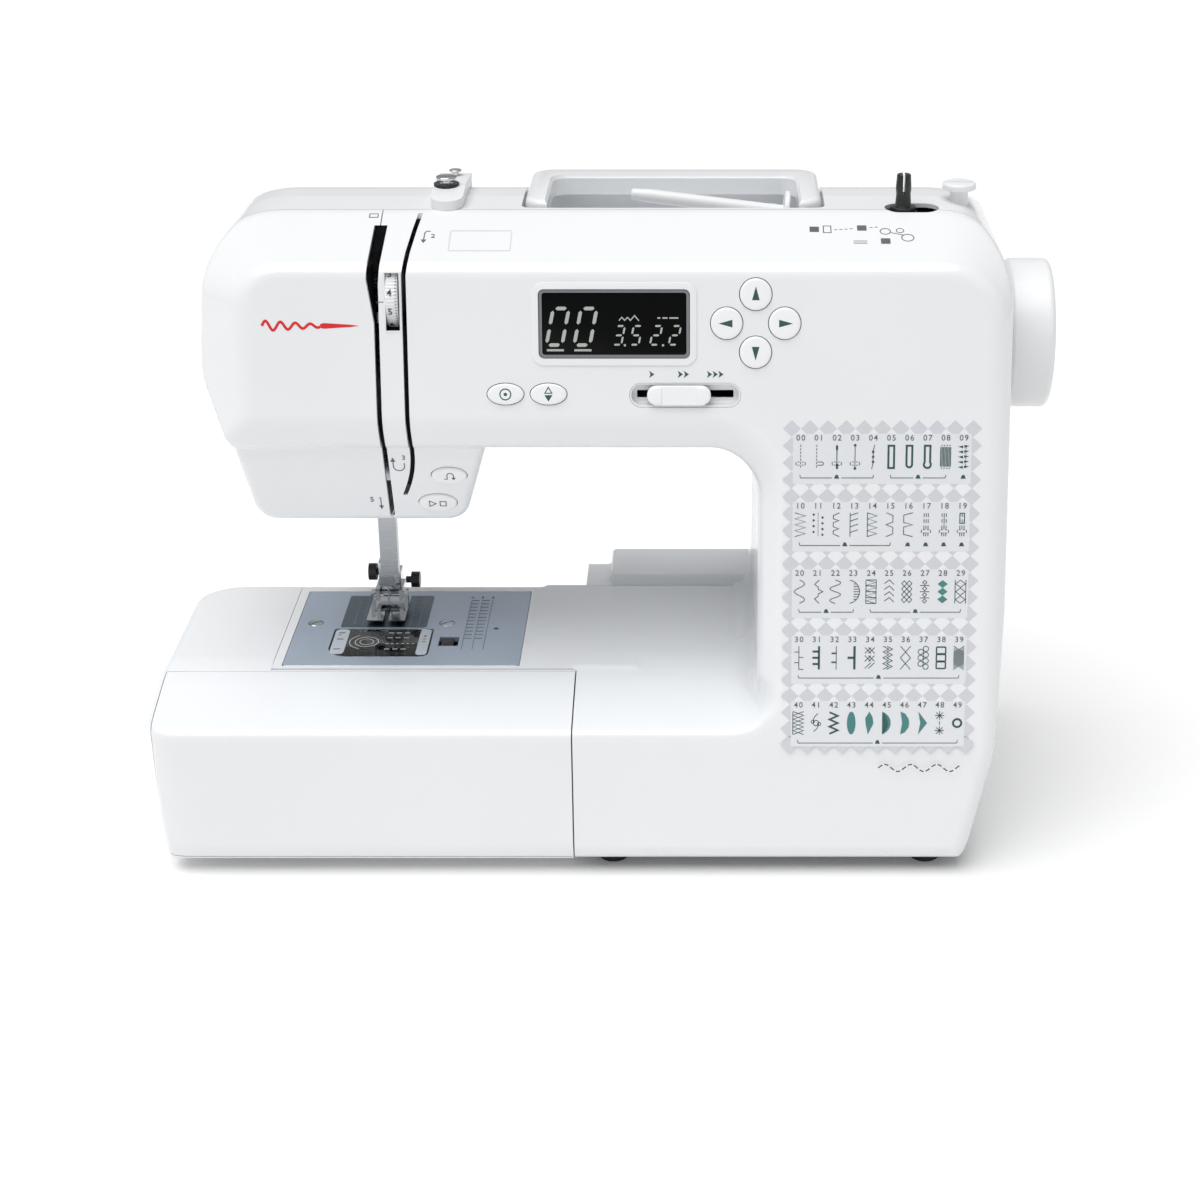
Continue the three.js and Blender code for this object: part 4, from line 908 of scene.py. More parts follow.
def arc(cx, cy, r, a0, a1, n=18):
    return [(cx + r * math.cos(math.radians(a0 + (a1 - a0) * i / n)), cy
             + r * math.sin(math.radians(a0 + (a1 - a0) * i / n))) for i in range(n + 1)]


def ring(r, w):
    return ribbon(arc(0, 0, r, 0, 345, 23), w, True)


def dots(points, r=0.3):
    return [put(patch(oval(2 * r, 2 * r, 10)), x, y) for x, y in points]


def lines(*strokes, w=0.32):
    return [ribbon(p, w) for p in strokes]


def repeat(n, top, bottom):
    return [top + (bottom - top) * i / (n - 1) for i in range(n)]


def zigzag(n, half, top, bottom, x=0.0):
    return [(x + (half if i % 2 else -half), y) for i, y in enumerate(repeat(n, top, bottom))]


def wave(n, half, top, bottom, x=0.0):
    return [(x + half * math.sin(math.pi * n * i / 48), top + (bottom - top) * i / 48)
            for i in range(49)]


def diamond(x, y, a, b):
    return [(x - a, y), (x, y - b), (x + a, y), (x, y + b)]


def loop(x, y, a, b, w=0.3):
    return ribbon(diamond(x, y, a, b), w, True)


H = 5.2
# The loop of a buttonhole foot beside a stitch.
EYE = [ribbon(arc(1.3, -2.9, 0.75, -60, 60, 8), 0.3), ribbon(arc(-1.3, -2.9, 0.75, 120, 240, 8), 0.3),
       ribbon([(-1.2, -2.2), (-0.5, -2.2)], 0.3), ribbon([(0.5, -2.2), (1.2, -2.2)], 0.3),
       ribbon([(-1.2, -3.6), (-0.5, -3.6)], 0.3), ribbon([(0.5, -3.6), (1.2, -3.6)], 0.3)]


def dashes(x, top, bottom, n, w=0.32):
    step = (top - bottom) / n
    return [ribbon([(x, top - step * i), (x, top - step * (i + 0.62))], w) for i in range(n)]


def rect(x0, x1, y0, y1, w=0.8, r=0.0):
    return ribbon(box_line(x0, x1, y0, y1, r), w, True)


def keyhole(r, start):
    """A buttonhole with one round end."""
    return [ribbon([(-1.2, H - 0.4)] + arc(0, -H + 1.9, r, start, 540 - start, 14) + [(1.2, H - 0.4)],
                   0.85, True)]


BARS = [ribbon([(x, y + 0.8), (x, y - 0.8)], 0.35) for x in (-0.9, 0, 0.9)
        for y in (4.2, 1.6, -1.2, -4.2)]
STAR = [ribbon([(-2 * math.cos(a), -2 * math.sin(a)), (2 * math.cos(a), 2 * math.sin(a))], 0.32)
        for a in repeat(5, 0, math.pi)[:-1]]
# The pictures of the stitches by number, each about 5 wide and 10 high.
STITCHES = [dashes(0, H, -H, 7) + EYE, dashes(-0.9, H, -H, 7)
            + [ribbon([(-0.6, -2.2), (1.2, -2.2)] + arc(1.3, -2.9, 0.7, 80, -80, 8)
                      + [(1.2, -3.6), (-0.6, -3.6)], 0.3)], lines([(0, H), (0, -H)], w=0.4)
            + lines([(0, H - 0.4), (0, H - 2.2)], [(0.1, -H + 2.2), (0.1, -H)], w=0.9) + EYE,
            lines([(0, H), (0, -H)]) + dots([(0, H - 0.2), (0, -H + 0.2)], 0.6) + EYE,
            lines([(0.7, H), (0, H - 2.4)], [(0, -H + 2.4), (-0.6, -H)])
            + lines([(0, H - 2.4), (0, -H + 2.4)]) + dots([(0, 2.2), (0, 0), (0, -2.2)], 0.55),
            [rect(-1.2, 1.2, -H + 0.4, H - 0.4, 0.85)], keyhole(1.2, 180), keyhole(1.5, 140),
            [ribbon([(x, H - 1), (x, -H + 1)], 0.42) for x in repeat(8, -2.1, 2.1)]
            + [ribbon([(x, H - 0.6), (x + 0.5, H)], 0.3) for x in repeat(4, -1.9, 1.5)]
            + [ribbon([(x, -H), (x + 0.5, -H + 0.6)], 0.3) for x in repeat(4, -1.9, 1.5)],
            [patch([(0.2, y - 0.5), (2.3, y + 0.3), (0.2, y + 0.7)]) for y in repeat(5, 4.4, -4.4)]
            + [patch([(-0.3, y + 0.5), (-2.4, y), (-0.3, y - 0.7)]) for y in repeat(5, 4.4, -4.4)]
            + dashes(0.9, H, -H, 9, 0.3), lines(zigzag(9, 2.3, H, -H)), dashes(0, H, -H, 10, 0.25)
            + dots([(1.9 if i % 2 else -1.9, y) for i, y in enumerate(repeat(8, 4.4, -4.4))], 0.5),
            lines([(1.4, H), (-1.2, 4), (-1.2, 2.6), (1.2, 1.8), (-1.2, 0.9), (-1.2, -0.9), (1.2, -1.8),
                   (-1.2, -2.6), (-1.2, -4), (1.4, -H)]), lines([(-1.7, H), (-1.7, -H)])
            + lines(*[[(-1.7, y - 1.2), (1.7, y)] for y in repeat(4, H, -H + 3)]),
            lines([(-2, H), (-2, -H)], zigzag(9, 2.1, H, -H)),
            lines([(-1.6, H), (1.2, 4), (1.2, 1.2), (-1.7, 0), (1.2, -1.2), (1.2, -4), (-1.6, -H)]),
            lines([(2, H), (-1.9, 4.2), (-1.9, 1), (2, 0), (-1.9, -1), (-1.9, -4.2), (2, -H)]), BARS
            + EYE, BARS + lines([(0, 3.2), (0, 2.4)], [(0, 0.6), (0, -0.2)]) + EYE, BARS
            + [rect(-1, 1, 0.6, H - 0.2, 0.35)] + EYE, lines(wave(3, 2.2, H, -H)),
            lines([(0.8, H), (-1.2, 3.2), (0.4, 2), (0.4, 1), (2.4, 0), (0.4, -1), (0.4, -2),
                   (-1.2, -3.2), (0.8, -H)]), lines(wave(4, 2.3, H, -H, 0.0)),
            lines(arc(-2.4, 0, H, 80, -80, 16)) + lines(*[[(0.2, y),
                (math.sqrt(max(H * H - y * y, 0)) - 2.4, y)] for y in repeat(7, 3.4, -3.4)]),
            lines([(-2.2, H), (-2.2, -H)], [(2.2, H), (2.2, -H)], zigzag(10, 2.1, H, -H))
            + lines(*[[(-2.2, y), (2.2, y)] for y in repeat(5, H, -H)]),
            lines(*[[(-2, y - 1.6), (0.2, y), (2.2, y - 2)] for y in repeat(4, H, -H + 2.6)]),
            [loop(x, y, 1.1, 1.25) for y in (3.6, 1.2, -1.2, -3.6) for x in (-1.1, 1.1)],
            [loop(0, y, 0.9, 0.9) for y in (4.1, 1.4, -1.4, -4.1)]
            + lines([(-2, 2.75), (2, 2.75)], [(-2, 0), (2, 0)], [(-2, -2.75), (2, -2.75)]),
            [patch(diamond(0, y, 2.2, 1.7)) for y in (3.4, 0, -3.4)],
            [loop(0, y, 2.1, 1.6) for y in (3.5, 0, -3.5)] + lines([(-2.3, H), (-2.3, -H)],
        [(2.3, H), (2.3, -H)]), lines([(0, H), (0, -H)], [(-2, 2.6), (0, 2.6)], [(0, 0.2), (2, 0.2)],
                                      [(-2, -2.2), (0, -2.2)], [(0, -H), (2, -H)]),
            lines([(1, H), (1, -H)], [(-1.8, 2.8), (1, 2.8)], [(-1.8, 0), (1, 0)],
                  [(-1.8, -2.8), (1, -2.8)], w=0.9), lines([(0.8, H), (0.8, -H)])
            + lines([(-1.3, 2), (0.8, 2)], [(-1.3, -2), (0.8, -2)], w=0.7),
            lines([(1, H), (1, -H)], [(-2, 0), (1, 0)], w=1.0),
            lines(*[[(x, y), (x + 2.6, y - 2.6)] for x in (-2.2, -0.6) for y in (H - 0.6, H - 4.2)],
                  *[[(x + 2.6, y), (x, y - 2.6)] for x in (-2.2, -0.6)
                    for y in (H - 0.6, H - 4.2, H - 7.4)]), lines(zigzag(9, 1.2, H, -H, -0.8),
        zigzag(9, 1.2, H, -H, 0.8)), lines([(-2.2, H), (2.2, 0), (-2.2, -H)],
                                           [(2.2, H), (-2.2, 0), (2.2, -H)]),
            [put(ring(1.15, 0.32), -1.1 if i % 2 else 1.1, y) for i, y in enumerate(repeat(7, 4, -4))],
            [rect(-2, 2, y - 1.5, y + 1.5, 0.6, 0.4) for y in (3.3, 0, -3.3)],
            lines(*[[(-2.3, y), (2.3, y - 3.2)] for y in repeat(8, H, -H + 3.2)],
                  *[[(2.3, y), (-2.3, y - 3.2)] for y in repeat(8, H, -H + 3.2)], w=0.36),
            lines(zigzag(7, 2.3, H, -H), [(-p, q) for p, q in zigzag(7, 2.3, H, -H)],
                  [(-2.4, H), (-2.4, -H)]), [ring(1.2, 0.35), put(ring(0.7, 0.3), -1.4, 0.6),
                                             put(ring(0.7, 0.3), 1.4, -0.4)]
            + lines(arc(3, 0.6, 4.2, 120, 185, 8), arc(-3.2, 0, 4.4, -60, 5, 8)),
            lines(zigzag(7, 1.8, H - 0.3, -H + 0.3), w=0.8),
            [patch([(1.9 * math.sin(a), H * math.cos(a)) for a in repeat(17, 0, 2 * math.pi)[:-1]])],
            [patch([(-1.4, -0.5), (-0.4, -H), (2, -0.2), (1.6, 2.6), (0.2, H), (-1.6, 2.2)])],
            [patch([(-1.9, H)] + arc(-3.6, 0, 5.4, 72, -72, 12) + [(-1.9, -H)]
                   + arc(-5.6, 0, 6.2, -52, 52, 12))], [patch([(-1.7, -H), (0.4, -4.2), (1.9, -2),
                (2.2, 0), (1.9, 2), (0.4, 4.2), (-1.7, H), (-0.9, 0)])],
            [patch([(-1.6, -H), (2.3, 0), (-1.6, H), (-0.7, 0)])],
            [put(p, 0, y) for p in STAR for y in (3.4, -3.4)] + lines([(0, 0.8), (0, -0.8)]),
            [put(ring(1.8, 0.9), 0, 0)]]

CHART_X, CHART_Z = 87.2, 198.3
PITCH, ROW = 7.71, 28.98
CHART = panel(CHART_X, CHART_Z)
CHART_TOP = 4.05
TILE = ROW / math.cos(TILT) / 4


def field(low, high):
    """A plain band of the chart between two tile rows."""
    return patch(box_line(-0.42 * PITCH, 9.42 * PITCH, CHART_TOP - low * TILE, CHART_TOP - high * TILE,
                          0.6))


tiles = [patch(diamond((i - 0.5) * PITCH, CHART_TOP - j * TILE, 3.82, 3.66)) for i in range(11)
         for j in range(20)]
light_tiles = [patch(diamond(i * PITCH, CHART_TOP - (j + 0.5) * TILE, 3.7, 3.55)) for i in range(10)
               for j in (3, 7, 11, 15)]
fields = [field(j + 3.25, j + 0.3) for j in (0, 4, 8, 12)] + [field(19.1, 16.3)]
mark("chart_tiles_dark", tiles, TINT_DARK, matrix=CHART, top=0.05)
mark("chart_tiles_light", light_tiles, TINT_LIGHT, matrix=CHART, top=0.08)
mark("chart_fields", fields, TINT, matrix=CHART, top=0.11)
figures = {str(d): words(str(d), 3.5, 0.02) for d in range(10)}
FOOT_MARK = patch([(-1.1, -0.7), (1.1, -0.7), (0.5, 0.9), (-0.5, 0.9)])
numbers, thin_ink, teal_ink, braces = [], [], [], []
for k in range(50):
    x, y = (k % 10) * PITCH, -(k // 10) * ROW / math.cos(TILT)
    for j, d in enumerate("%02d" % k):
        numbers.append(put(figures[d], x - 1.08 + 2.16 * j, y))
    (teal_ink if k in (28, 43, 44, 45, 46, 47) else thin_ink).extend(put(p, x, y - 8.1)
        for p in STITCHES[k])
for row, spans in enumerate(([(0, 4), (5, 8)], [(0, 5)], [(0, 3), (4, 9)], [(0, 9)], [(0, 9)])):
    y = -row * ROW / math.cos(TILT) - 17.2
    for a, b in spans:
        xa, xb = a * PITCH, b * PITCH
        mid = (xa + xb) / 2
        braces.append(ribbon([(xa - 0.3, y + 1.3), (xa, y), (mid - 2, y)], 0.3))
        braces.append(ribbon([(mid + 2, y), (xb, y), (xb + 0.3, y + 1.3)], 0.3))
        braces.append(put(FOOT_MARK, mid, y + 0.4))
for row, c in ((0, 9), (1, 6), (1, 7), (1, 8), (1, 9)):
    braces.append(put(FOOT_MARK, c * PITCH, -row * ROW / math.cos(TILT) - 16.8))
mark("chart_numbers", numbers, INK_GREY, matrix=CHART, top=0.18, bottom=0.0)
mark("chart_stitches", thin_ink, INK, matrix=CHART, top=0.18, bottom=0.0)
mark("chart_filled_stitches", teal_ink, INK_TEAL, matrix=CHART, top=0.18, bottom=0.0)
mark("chart_braces", braces, INK, matrix=CHART, top=0.18, bottom=0.0)
flourish = [ribbon([(x, 1.6 * math.sin(x * 0.55)) for x in (x0 + 0.35 * i for i in range(6))], 0.55)
            for x0 in (2.6 * j for j in range(14))]
mark("panel_running_stitch", flourish, INK, matrix=panel(122.5, 54.2), top=0.07)
arrow = patch([(-1.6, -2.4), (1.6, -2.4), (0, 3.4)])
SPEED_MARKS = [put(patch([(-1.0, 1.5), (1.2, 0), (-1.0, -1.5), (-0.4, 0)]), x, 8.9)
               for x in (-14.2, -2.1, 0.4, 10.2, 12.6, 15.0)]
mark("speed_marks", SPEED_MARKS, INK, matrix=SPEED, top=0.07)
motif = [ribbon([(-20 + 0.5 * i, 2.2 * math.sin(i * 0.5) * (1 - i / 70)) for i in range(50)], 1.15),
         patch([(4.5, 0.7), (6, 1.2), (17, 0.5), (21, 0), (17, -0.5), (6, -1.2), (4.5, -0.7)])]
mark("face_motif", motif, INK_RED, matrix=panel(-119.8, 245.2), top=0.07)

# ---------------------------------------------------------------- buttons, display and speed control
ICONS = {"key_up": [put(arrow)], "key_down": [put(arrow, a=180)], "key_left": [put(arrow, a=90)],
         "key_right": [put(arrow, a=-90)], "lock_button": [ring(2.3, 0.5)] + dots([(0, 0)], 0.75),
         "needle_position_button": [ribbon([(-1.5, 0.5), (1.5, 0.5), (0, 3.0)], 0.4, True),
                                    patch([(-1.7, -0.3), (0, -3.0), (1.7, -0.3)])],
         "reverse_button": [ribbon([(-2.2, -1.4), (-0.9, -1.4), (-0.9, 0.6)]
                                   + arc(0.5, 0.6, 1.4, 180, 0, 12) + [(1.9, -0.6)], 0.42),
                            patch([(0.9, -0.6), (1.9, -2.0), (2.9, -0.6)])],
         "start_stop_button": [ribbon([(-3.6, 1.6), (-0.8, 0), (-3.6, -1.6)], 0.42, True),
                               rect(1.0, 3.6, -1.3, 1.3, 0.42)]}
for name, m, w, h, body in BUTTONS:
    cap = stack(oval(w, h, 64), [(-3.3, 0), (0.4, 0), (0.75, 0.12), (0.98, 0.42), (1.1, 1.0),
                                 (1.16, 2.2)])
    stem = stack(oval(w - 3, h - 3, 40), [(-4.6, 0), (-3.2, 0)])
    flange = stack(oval(w + 2, h + 2, 48), [(-5.1, 0), (-4.5, 0)])
    button = joined([moved(cap, m), moved(stem, m), moved(flange, m)])
    obj = piece(name + "_skin", button, CAP, body)
    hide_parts(name)
    mark(name + "_icon", ICONS[name], INK, body, m, top=1.2, bottom=1.0)

bezel = mesh_from("bezel", *moved(stack(box_line(-34.8, 34.8, -17.6, 17.6, 5.2),
                                        [(-2.4, 1.8), (0.02, 1.8), (0.02, 0), (0.22, 0), (0.45, 0.12),
                                         (0.55, 0.45)]), LCD))
finish_mesh(bezel, smooth=False)
boolean(bezel, moved(stack(box_line(-31.9, 31.9, -14.6, 14.6, 2.4), [(-5, 0), (3, 0)]), LCD))
piece("display_bezel", bezel, WHITE, "frame")
trim = mesh_from("trim", *moved(stack(box_line(-31.8, 31.8, -14.5, 14.5, 2.3),
                                      [(-2.4, 0), (-0.3, 0), (0.0, 0.3)]), LCD))
finish_mesh(trim, smooth=False)
boolean(trim, moved(stack(box_line(-30.4, 30.4, -13.1, 13.1, 1.2), [(-5, 0), (3, 0)]), LCD))
piece("display_trim", trim, GREY, "frame")
glass = piece("display_glass", stack(box_line(-30.3, 30.3, -13.0, 13.0, 1.1), soft(-2.0, -0.9, 0.2)),
              GLASS, "frame", LCD)
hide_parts("display_window")


def digit(text, w, h, stroke, lean=0.2):
    """Seven bars, each with pointed ends."""
    on = {"0": "abcdef", "2": "abged", "3": "abgcd", "5": "afgcd"}[text]
    g = stroke * 0.62
    a, b = w / 2, h / 2
    ends = {"a": ((-a, b), (a, b)), "b": ((a, b), (a, 0)), "c": ((a, 0), (a, -b)),
            "d": ((-a, -b), (a, -b)), "e": ((-a, 0), (-a, -b)), "f": ((-a, b), (-a, 0)),
            "g": ((-a, 0), (a, 0))}
    out = []
    for s in on:
        (x0, y0), (x1, y1) = ends[s]
        ux, uy = (1, 0) if y0 == y1 else (0, -1)
        k = stroke / 2
        p = [(x0 + ux * g, y0 + uy * g), (x0 + ux * (g + k) - uy * k, y0 + uy * (g + k) + ux * k),
             (x1 - ux * (g + k) - uy * k, y1 - uy * (g + k) + ux * k), (x1 - ux * g, y1 - uy * g),
             (x1 - ux * (g + k) + uy * k, y1 - uy * (g + k) - ux * k),
             (x0 + ux * (g + k) + uy * k, y0 + uy * (g + k) - ux * k)]
        out.append(patch([(x + lean * y, y) for x, y in p]))
    return out


reading = []
for t, x, y, w, h, k in (("0", -23.8, -1.3, 6.6, 15.4, 1.5), ("0", -12.1, -1.3, 6.6, 15.4, 1.5),
                         ("3", 1.9, -4.9, 3.6, 7.9, 0.8), ("5", 9.2, -4.9, 3.6, 7.9, 0.8),
                         ("2", 17.6, -4.9, 3.6, 7.9, 0.8), ("2", 25.5, -4.9, 3.6, 7.9, 0.8)):
    reading += [put(p, x, y) for p in digit(t, w, h, k)]
reading += [put(patch(box_line(-3.6, 3.6, -0.45, 0.45)), x, -11.2) for x in (-24.9, -13.3)]
reading += dots([(4.4, -9.1), (20.5, -9.1)], 0.5)
reading += [ribbon([(2.0, 1.3), (3.2, 2.7), (4.4, 1.4), (5.6, 2.7), (6.8, 1.4), (8.6, 3.4),
                    (10.4, 1.2)], 0.45)]
reading += [ribbon([(a, 2.4), (b, 2.4)], 0.6) for a, b in ((18.2, 19.4), (20.3, 22.4), (23.2, 27.0))]
mark("display_reading", reading, SEGMENT, "frame", LCD, top=-0.83, bottom=-0.9)

dish = solid(moved(stack(box_line(-23.5, 23.5, -5.2, 5.2, 5.15), [(-6.4, 0), (-0.5, 0)]), SPEED))
boolean(dish, moved(stack(box_line(-22.8, 22.8, -4.4, 4.4, 4.35),
                          [(-4.6, 1.6), (-4.2, 0.7), (-3.4, 0.1), (-2.6, 0), (3, 0)]), SPEED))
boolean(dish, moved(stack(box_line(-20.5, 20.5, -1.6, 1.6, 0.5), [(-9, 0), (3, 0)]), SPEED))
piece("speed_dish", dish, WHITE, "frame")
KNOB = SPEED @ at(-2.6, 0, 0)
knob = solid(moved(stack(box_line(-13.5, 13.5, -4.15, 4.15, 4.1), soft(-2.2, 2.5, 1.1, 0.3)), KNOB))
boolean(knob, moved(stack(box_line(-7.4, 7.4, -9, 9, 0.2), [(2.05, 0), (4, -0.6)]), KNOB))
knob = piece("speed_knob", knob, CAP, "slider")
piece("speed_knob_stem", joined([moved(stack(box_line(-3, 3, -1.2, 1.2), [(-4.6, 0), (-2.3, 0)]), KNOB),
                                 moved(stack(box_line(-5, 5, -3.4, 3.4), [(-8.4, 0), (-6.9, 0)]), KNOB),
                                 moved(stack(box_line(-3, 3, -1.2, 1.2), [(-7.2, 0), (-4.5, 0)]),
                                       KNOB)]), SOFT_WHITE, "slider")
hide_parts("speed_slider")

# ---------------------------------------------------------------- thread path
TEETH = 120
rim = [DIAL_R - (0.0 if i % 2 else 0.35) for i in range(TEETH)]
wheel = [(rim[i] * math.cos(2 * math.pi * i / TEETH), rim[i] * math.sin(2 * math.pi * i / TEETH))
         for i in range(TEETH)]
dial = piece("tension_dial_skin", moved(stack(wheel, soft(-2.6, 2.6, 0.5, 0.5, 3)), DIAL), SOFT_WHITE,
             "dial")
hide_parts("tension_dial")
scale = []
# The dial's ten figures stand 34 degrees apart.
for k in range(10):
    for p in [put(figures[str(k)], -0.7, 0, 1.2)] + [ribbon([(1.5, 1.38 * j - 3.4),
                (2.3, 1.38 * j - 3.4)], 0.22) for j in range(6)]:
        v, f = thick(p, 0.09, -0.05)
        out = []
        for u, w, h in v:
            a = math.radians(180 + (k - 4.5) * 34) - w / DIAL_R
            out.append((DIAL_X + u, DIAL_Y + (DIAL_R + 0.05 + h) * math.cos(a), DIAL_Z
                        + (DIAL_R + 0.05 + h) * math.sin(a)))
        scale.append((out, f))
piece("tension_dial_scale", joined(scale), INK, "dial", clean=False)
window = solid(moved(stack(box_line(-3.5, 3.5, -12.7, 12.7, 0.4), [(-1.8, 0), (0.1, 0), (0.16, -0.06)]),
                     DIAL_WINDOW))
boolean(window, moved(stack(box_line(-2.95, 2.95, -12.1, 12.1, 0.2), [(-9, 0), (5, 0)]), DIAL_WINDOW))
piece("dial_window_frame", window, SOFT_WHITE, "frame")
inked("dial_index", [ribbon([(-1.5, 0), (1.5, 0)], 0.3)], INK_GREY, panel(-89.9, 255.0))
walls = [bar(-97.4, -96.6, -46, -19, 205, 262), bar(-89.4, -88.7, -46, -19, 205, 240),
         bar(-77.6, -76.8, -42, -15, 205, 262), bar(-97.4, -96.6, -34, -19, 160, 205.5),
         bar(-77.6, -76.8, -34, -15, 168, 205.5), bar(-88.8, -77.2, -38, -37.2, 168, 240),
         bar(-88.8, -77.2, -24, -23, 236, 262)]
core = solid(surface(body_shape, (-112, -80, 140), (-60, 0, 290), 3.0, -1.6))
channel = solid(joined(walls))
boolean(channel, core, "INTERSECT")
piece("thread_channel_walls", channel, LINER, "frame")

top_arrow = [put(figures["2"], 0, 0, 1.1)] + [ribbon([(-1.2, 3.4), (-2.6, 3.6), (-3.6, 2.6),
                                                      (-3.8, -2.6)], 0.45), patch([(-5.0, -2.4),
            (-2.6, -2.4), (-3.8, -4.8)])]
SLOPE_PLANE = Matrix.Rotation(0.385, 4, "X")
inked("mark_top", top_arrow, INK_GREY, at(-69, -29.6, 277.4) @ SLOPE_PLANE)
inked("label_rectangle", [rect(-13, 13, -7, 7, 0.5, 0.8)], INK_LINE,
      at(-48.8, -32.5, 276.2) @ SLOPE_PLANE)
inked("mark_hook", [put(figures["3"], 2.4, 4.4, 1.0),
                    ribbon([(-2.4, 2.4), (-2.4, -0.6)] + arc(0, -0.6, 2.4, 180, 360, 12) + [(2.4, 1.4)],
                           0.42), patch([(-3.5, 2.2), (-1.3, 2.2), (-2.4, 4.6)])], INK_GREY,
      head(-86.2, 180.5))
inked("mark_needle", [put(figures["5"], -1.6, 1.5, 1.1)]
      + [ribbon([(1.6, 2.6), (2.2, 2.6), (2.2, -2.4)], 0.42),
         patch([(1.2, -2.0), (3.2, -2.0), (2.2, -4.2)])], INK_GREY, head(-98.2, 160.4))
inked("mark_slot_top", [rect(-1.8, 1.8, -1.3, 1.3, 0.4)], INK_GREY, at(-95.5, -16, 283) @ SLOPE_PLANE)
flat_top = at(112, -27, 284.5)
black_box = patch(box_line(-2, 2, -2, 2, 0.3))
winding = [put(black_box, -19, 0), put(rect(-1.6, 1.6, -2.6, 2.6, 0.4), -13.5, 0),
           put(black_box, 1.3, 1), put(black_box, 11, -9)]
winding += [ribbon([(a, 0.8 + 0.12 * a), (a + 1.3, 0.96 + 0.12 * a)], 0.35)
            for a in (-10.5, -8.3, -6.1, -3.9, 4.6, 6.8)]
winding += [put(ring(2.2, 0.4), 11.2, -1.6), put(ring(1.6, 0.35), 17.5, -1.0),
            put(ring(2.6, 0.4), 20.5, -6.5), ribbon([(13.5, -2.6), (19, -4.5)], 0.35),
            ribbon([(-2.6, -9), (3.2, -9)], 0.35), ribbon([(-2.6, -10.6), (3.2, -10.6)], 0.35)]
inked("winding_diagram", winding, INK_GREY, flat_top)

# ---------------------------------------------------------------- top fittings
guide = solid(stack(box_line(-72, -58, -12, 42, 6.6), soft(279, 290.6, 1.6)))
boolean(guide, prism_x(fillet([(-20, 300), (-20, 286.5), (-6, 288.6), (10, 290.0), (34, 289.2),
                               (50, 285), (50, 300)][::-1]), -90, -40))
solid_body = solid(surface(body_shape, (-82, -30, 268), (-48, 60, 292), 1.6, 0.12))
boolean(guide, solid_body)
guide = piece("thread_guide_skin", guide, SOFT_WHITE, "frame")
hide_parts("thread_guide")
screw = turned([(0, -3, 0), (4.3, -3, 0.1), (4.3, 0.0, 0.3), (2.4, 0.9, 0.4), (2.4, 2.1, 0.3),
                (4.6, 2.4, 0.3), (4.6, 3.6, 0.5), (0, 3.6, 0)], 40)
disc = solid(moved(screw, at(-66.5, 9, 290.2)))
boolean(disc, bar(-72, -61, 8.5, 9.5, 293.1, 296))
piece("guide_screw", disc, CHROME, "frame")
piece("guide_screw_pad", turned([(0, -1, 0), (5.6, -1, 0.2), (5.6, 0.7, 0.3), (0, 0.7, 0)], 40), BLACK,
      "frame", at(-66.5, 9, 290.2))
piece("guide_pin", turned([(0, -2, 0), (1.6, -2, 0.1), (1.6, 1.4, 0.2), (2.8, 1.8, 0.3),
                           (2.8, 2.6, 0.4), (0, 2.6, 0)], 28), CHROME, "frame",
      at(-64.5, 29, 289.4))

bow = solid(stack(box_line(-32, 97.3, -4, 57, 10, 1.0), soft(277, 286, 2.8, 2.2)))
boolean(bow, stack(box_line(-22, 87.3, -40, 44, 7, 1.0),
                   [(270, 0), (277, 0), (278.6, -0.0), (284.4, 0.0), (285.6, -0.8), (290, -2.6)]))
handle = piece("handle_skin", bow, WHITE, "handle")
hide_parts("carry_handle")
pin = SPOOL @ turn("Y", 7) @ at(0, 0, 3)
along = pin @ turn("Y", 90)
rod = turned([(0, -62, 0), (2.3, -62, 1.6), (3.0, -54, 3), (3.0, 7, 0.4), (0, 7, 0)], 32)
collar = turned([(0, 5.4, 0), (9.5, 5.4, 0.8), (9.5, 7.8, 0.8), (0, 7.8, 0)], 48)
trunnion = moved(turned([(0, -5, 0), (3, -5, 0.4), (3, 5, 0.4), (0, 5, 0)], 28), turn("X", 90))
spool = piece("spool_pin_skin", joined([moved(rod, along), moved(collar, along),
                                        moved(trunnion, SPOOL @ turn("Y", 7))]), SOFT_WHITE, "spool")
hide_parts("spool_pin")
spindle = solid(turned([(0, 270, 0), (2.1, 270, 0.3), (2.1, 282.4, 0.1), (5.6, 282.6, 0.4),
                        (5.6, 284.6, 0.5), (3.5, 284.8, 0.3), (3.1, 290, 0.5), (3.35, 292, 1),
                        (3.35, 293.4, 1), (3.0, 298.6, 0.6), (0, 298.6, 0)], 40))
boolean(spindle, bar(-0.5, 0.5, -6, 6, 290, 300))
spindle.data.transform(Matrix.Translation((WINDER[0] * MM, WINDER[1] * MM, 0)))
spindle = piece("winder_spindle_skin", spindle, BLACK, "spindle")
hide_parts("winder_spindle")
knob = turned([(0, 272, 0), (4, 272, 0.2), (4, 288.2, 0.3), (7.4, 288.5, 0.5), (7.4, 291.5, 1.2),
               (0, 291.5, 0)], 48)
notch = solid(moved(knob, at(157.5, 8, 0)))
boolean(notch, bar(149, 166, 7.4, 8.6, 290.9, 293))
knob = piece("winder_stopper_skin", notch, SOFT_WHITE, "frame")
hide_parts("winder_stopper")

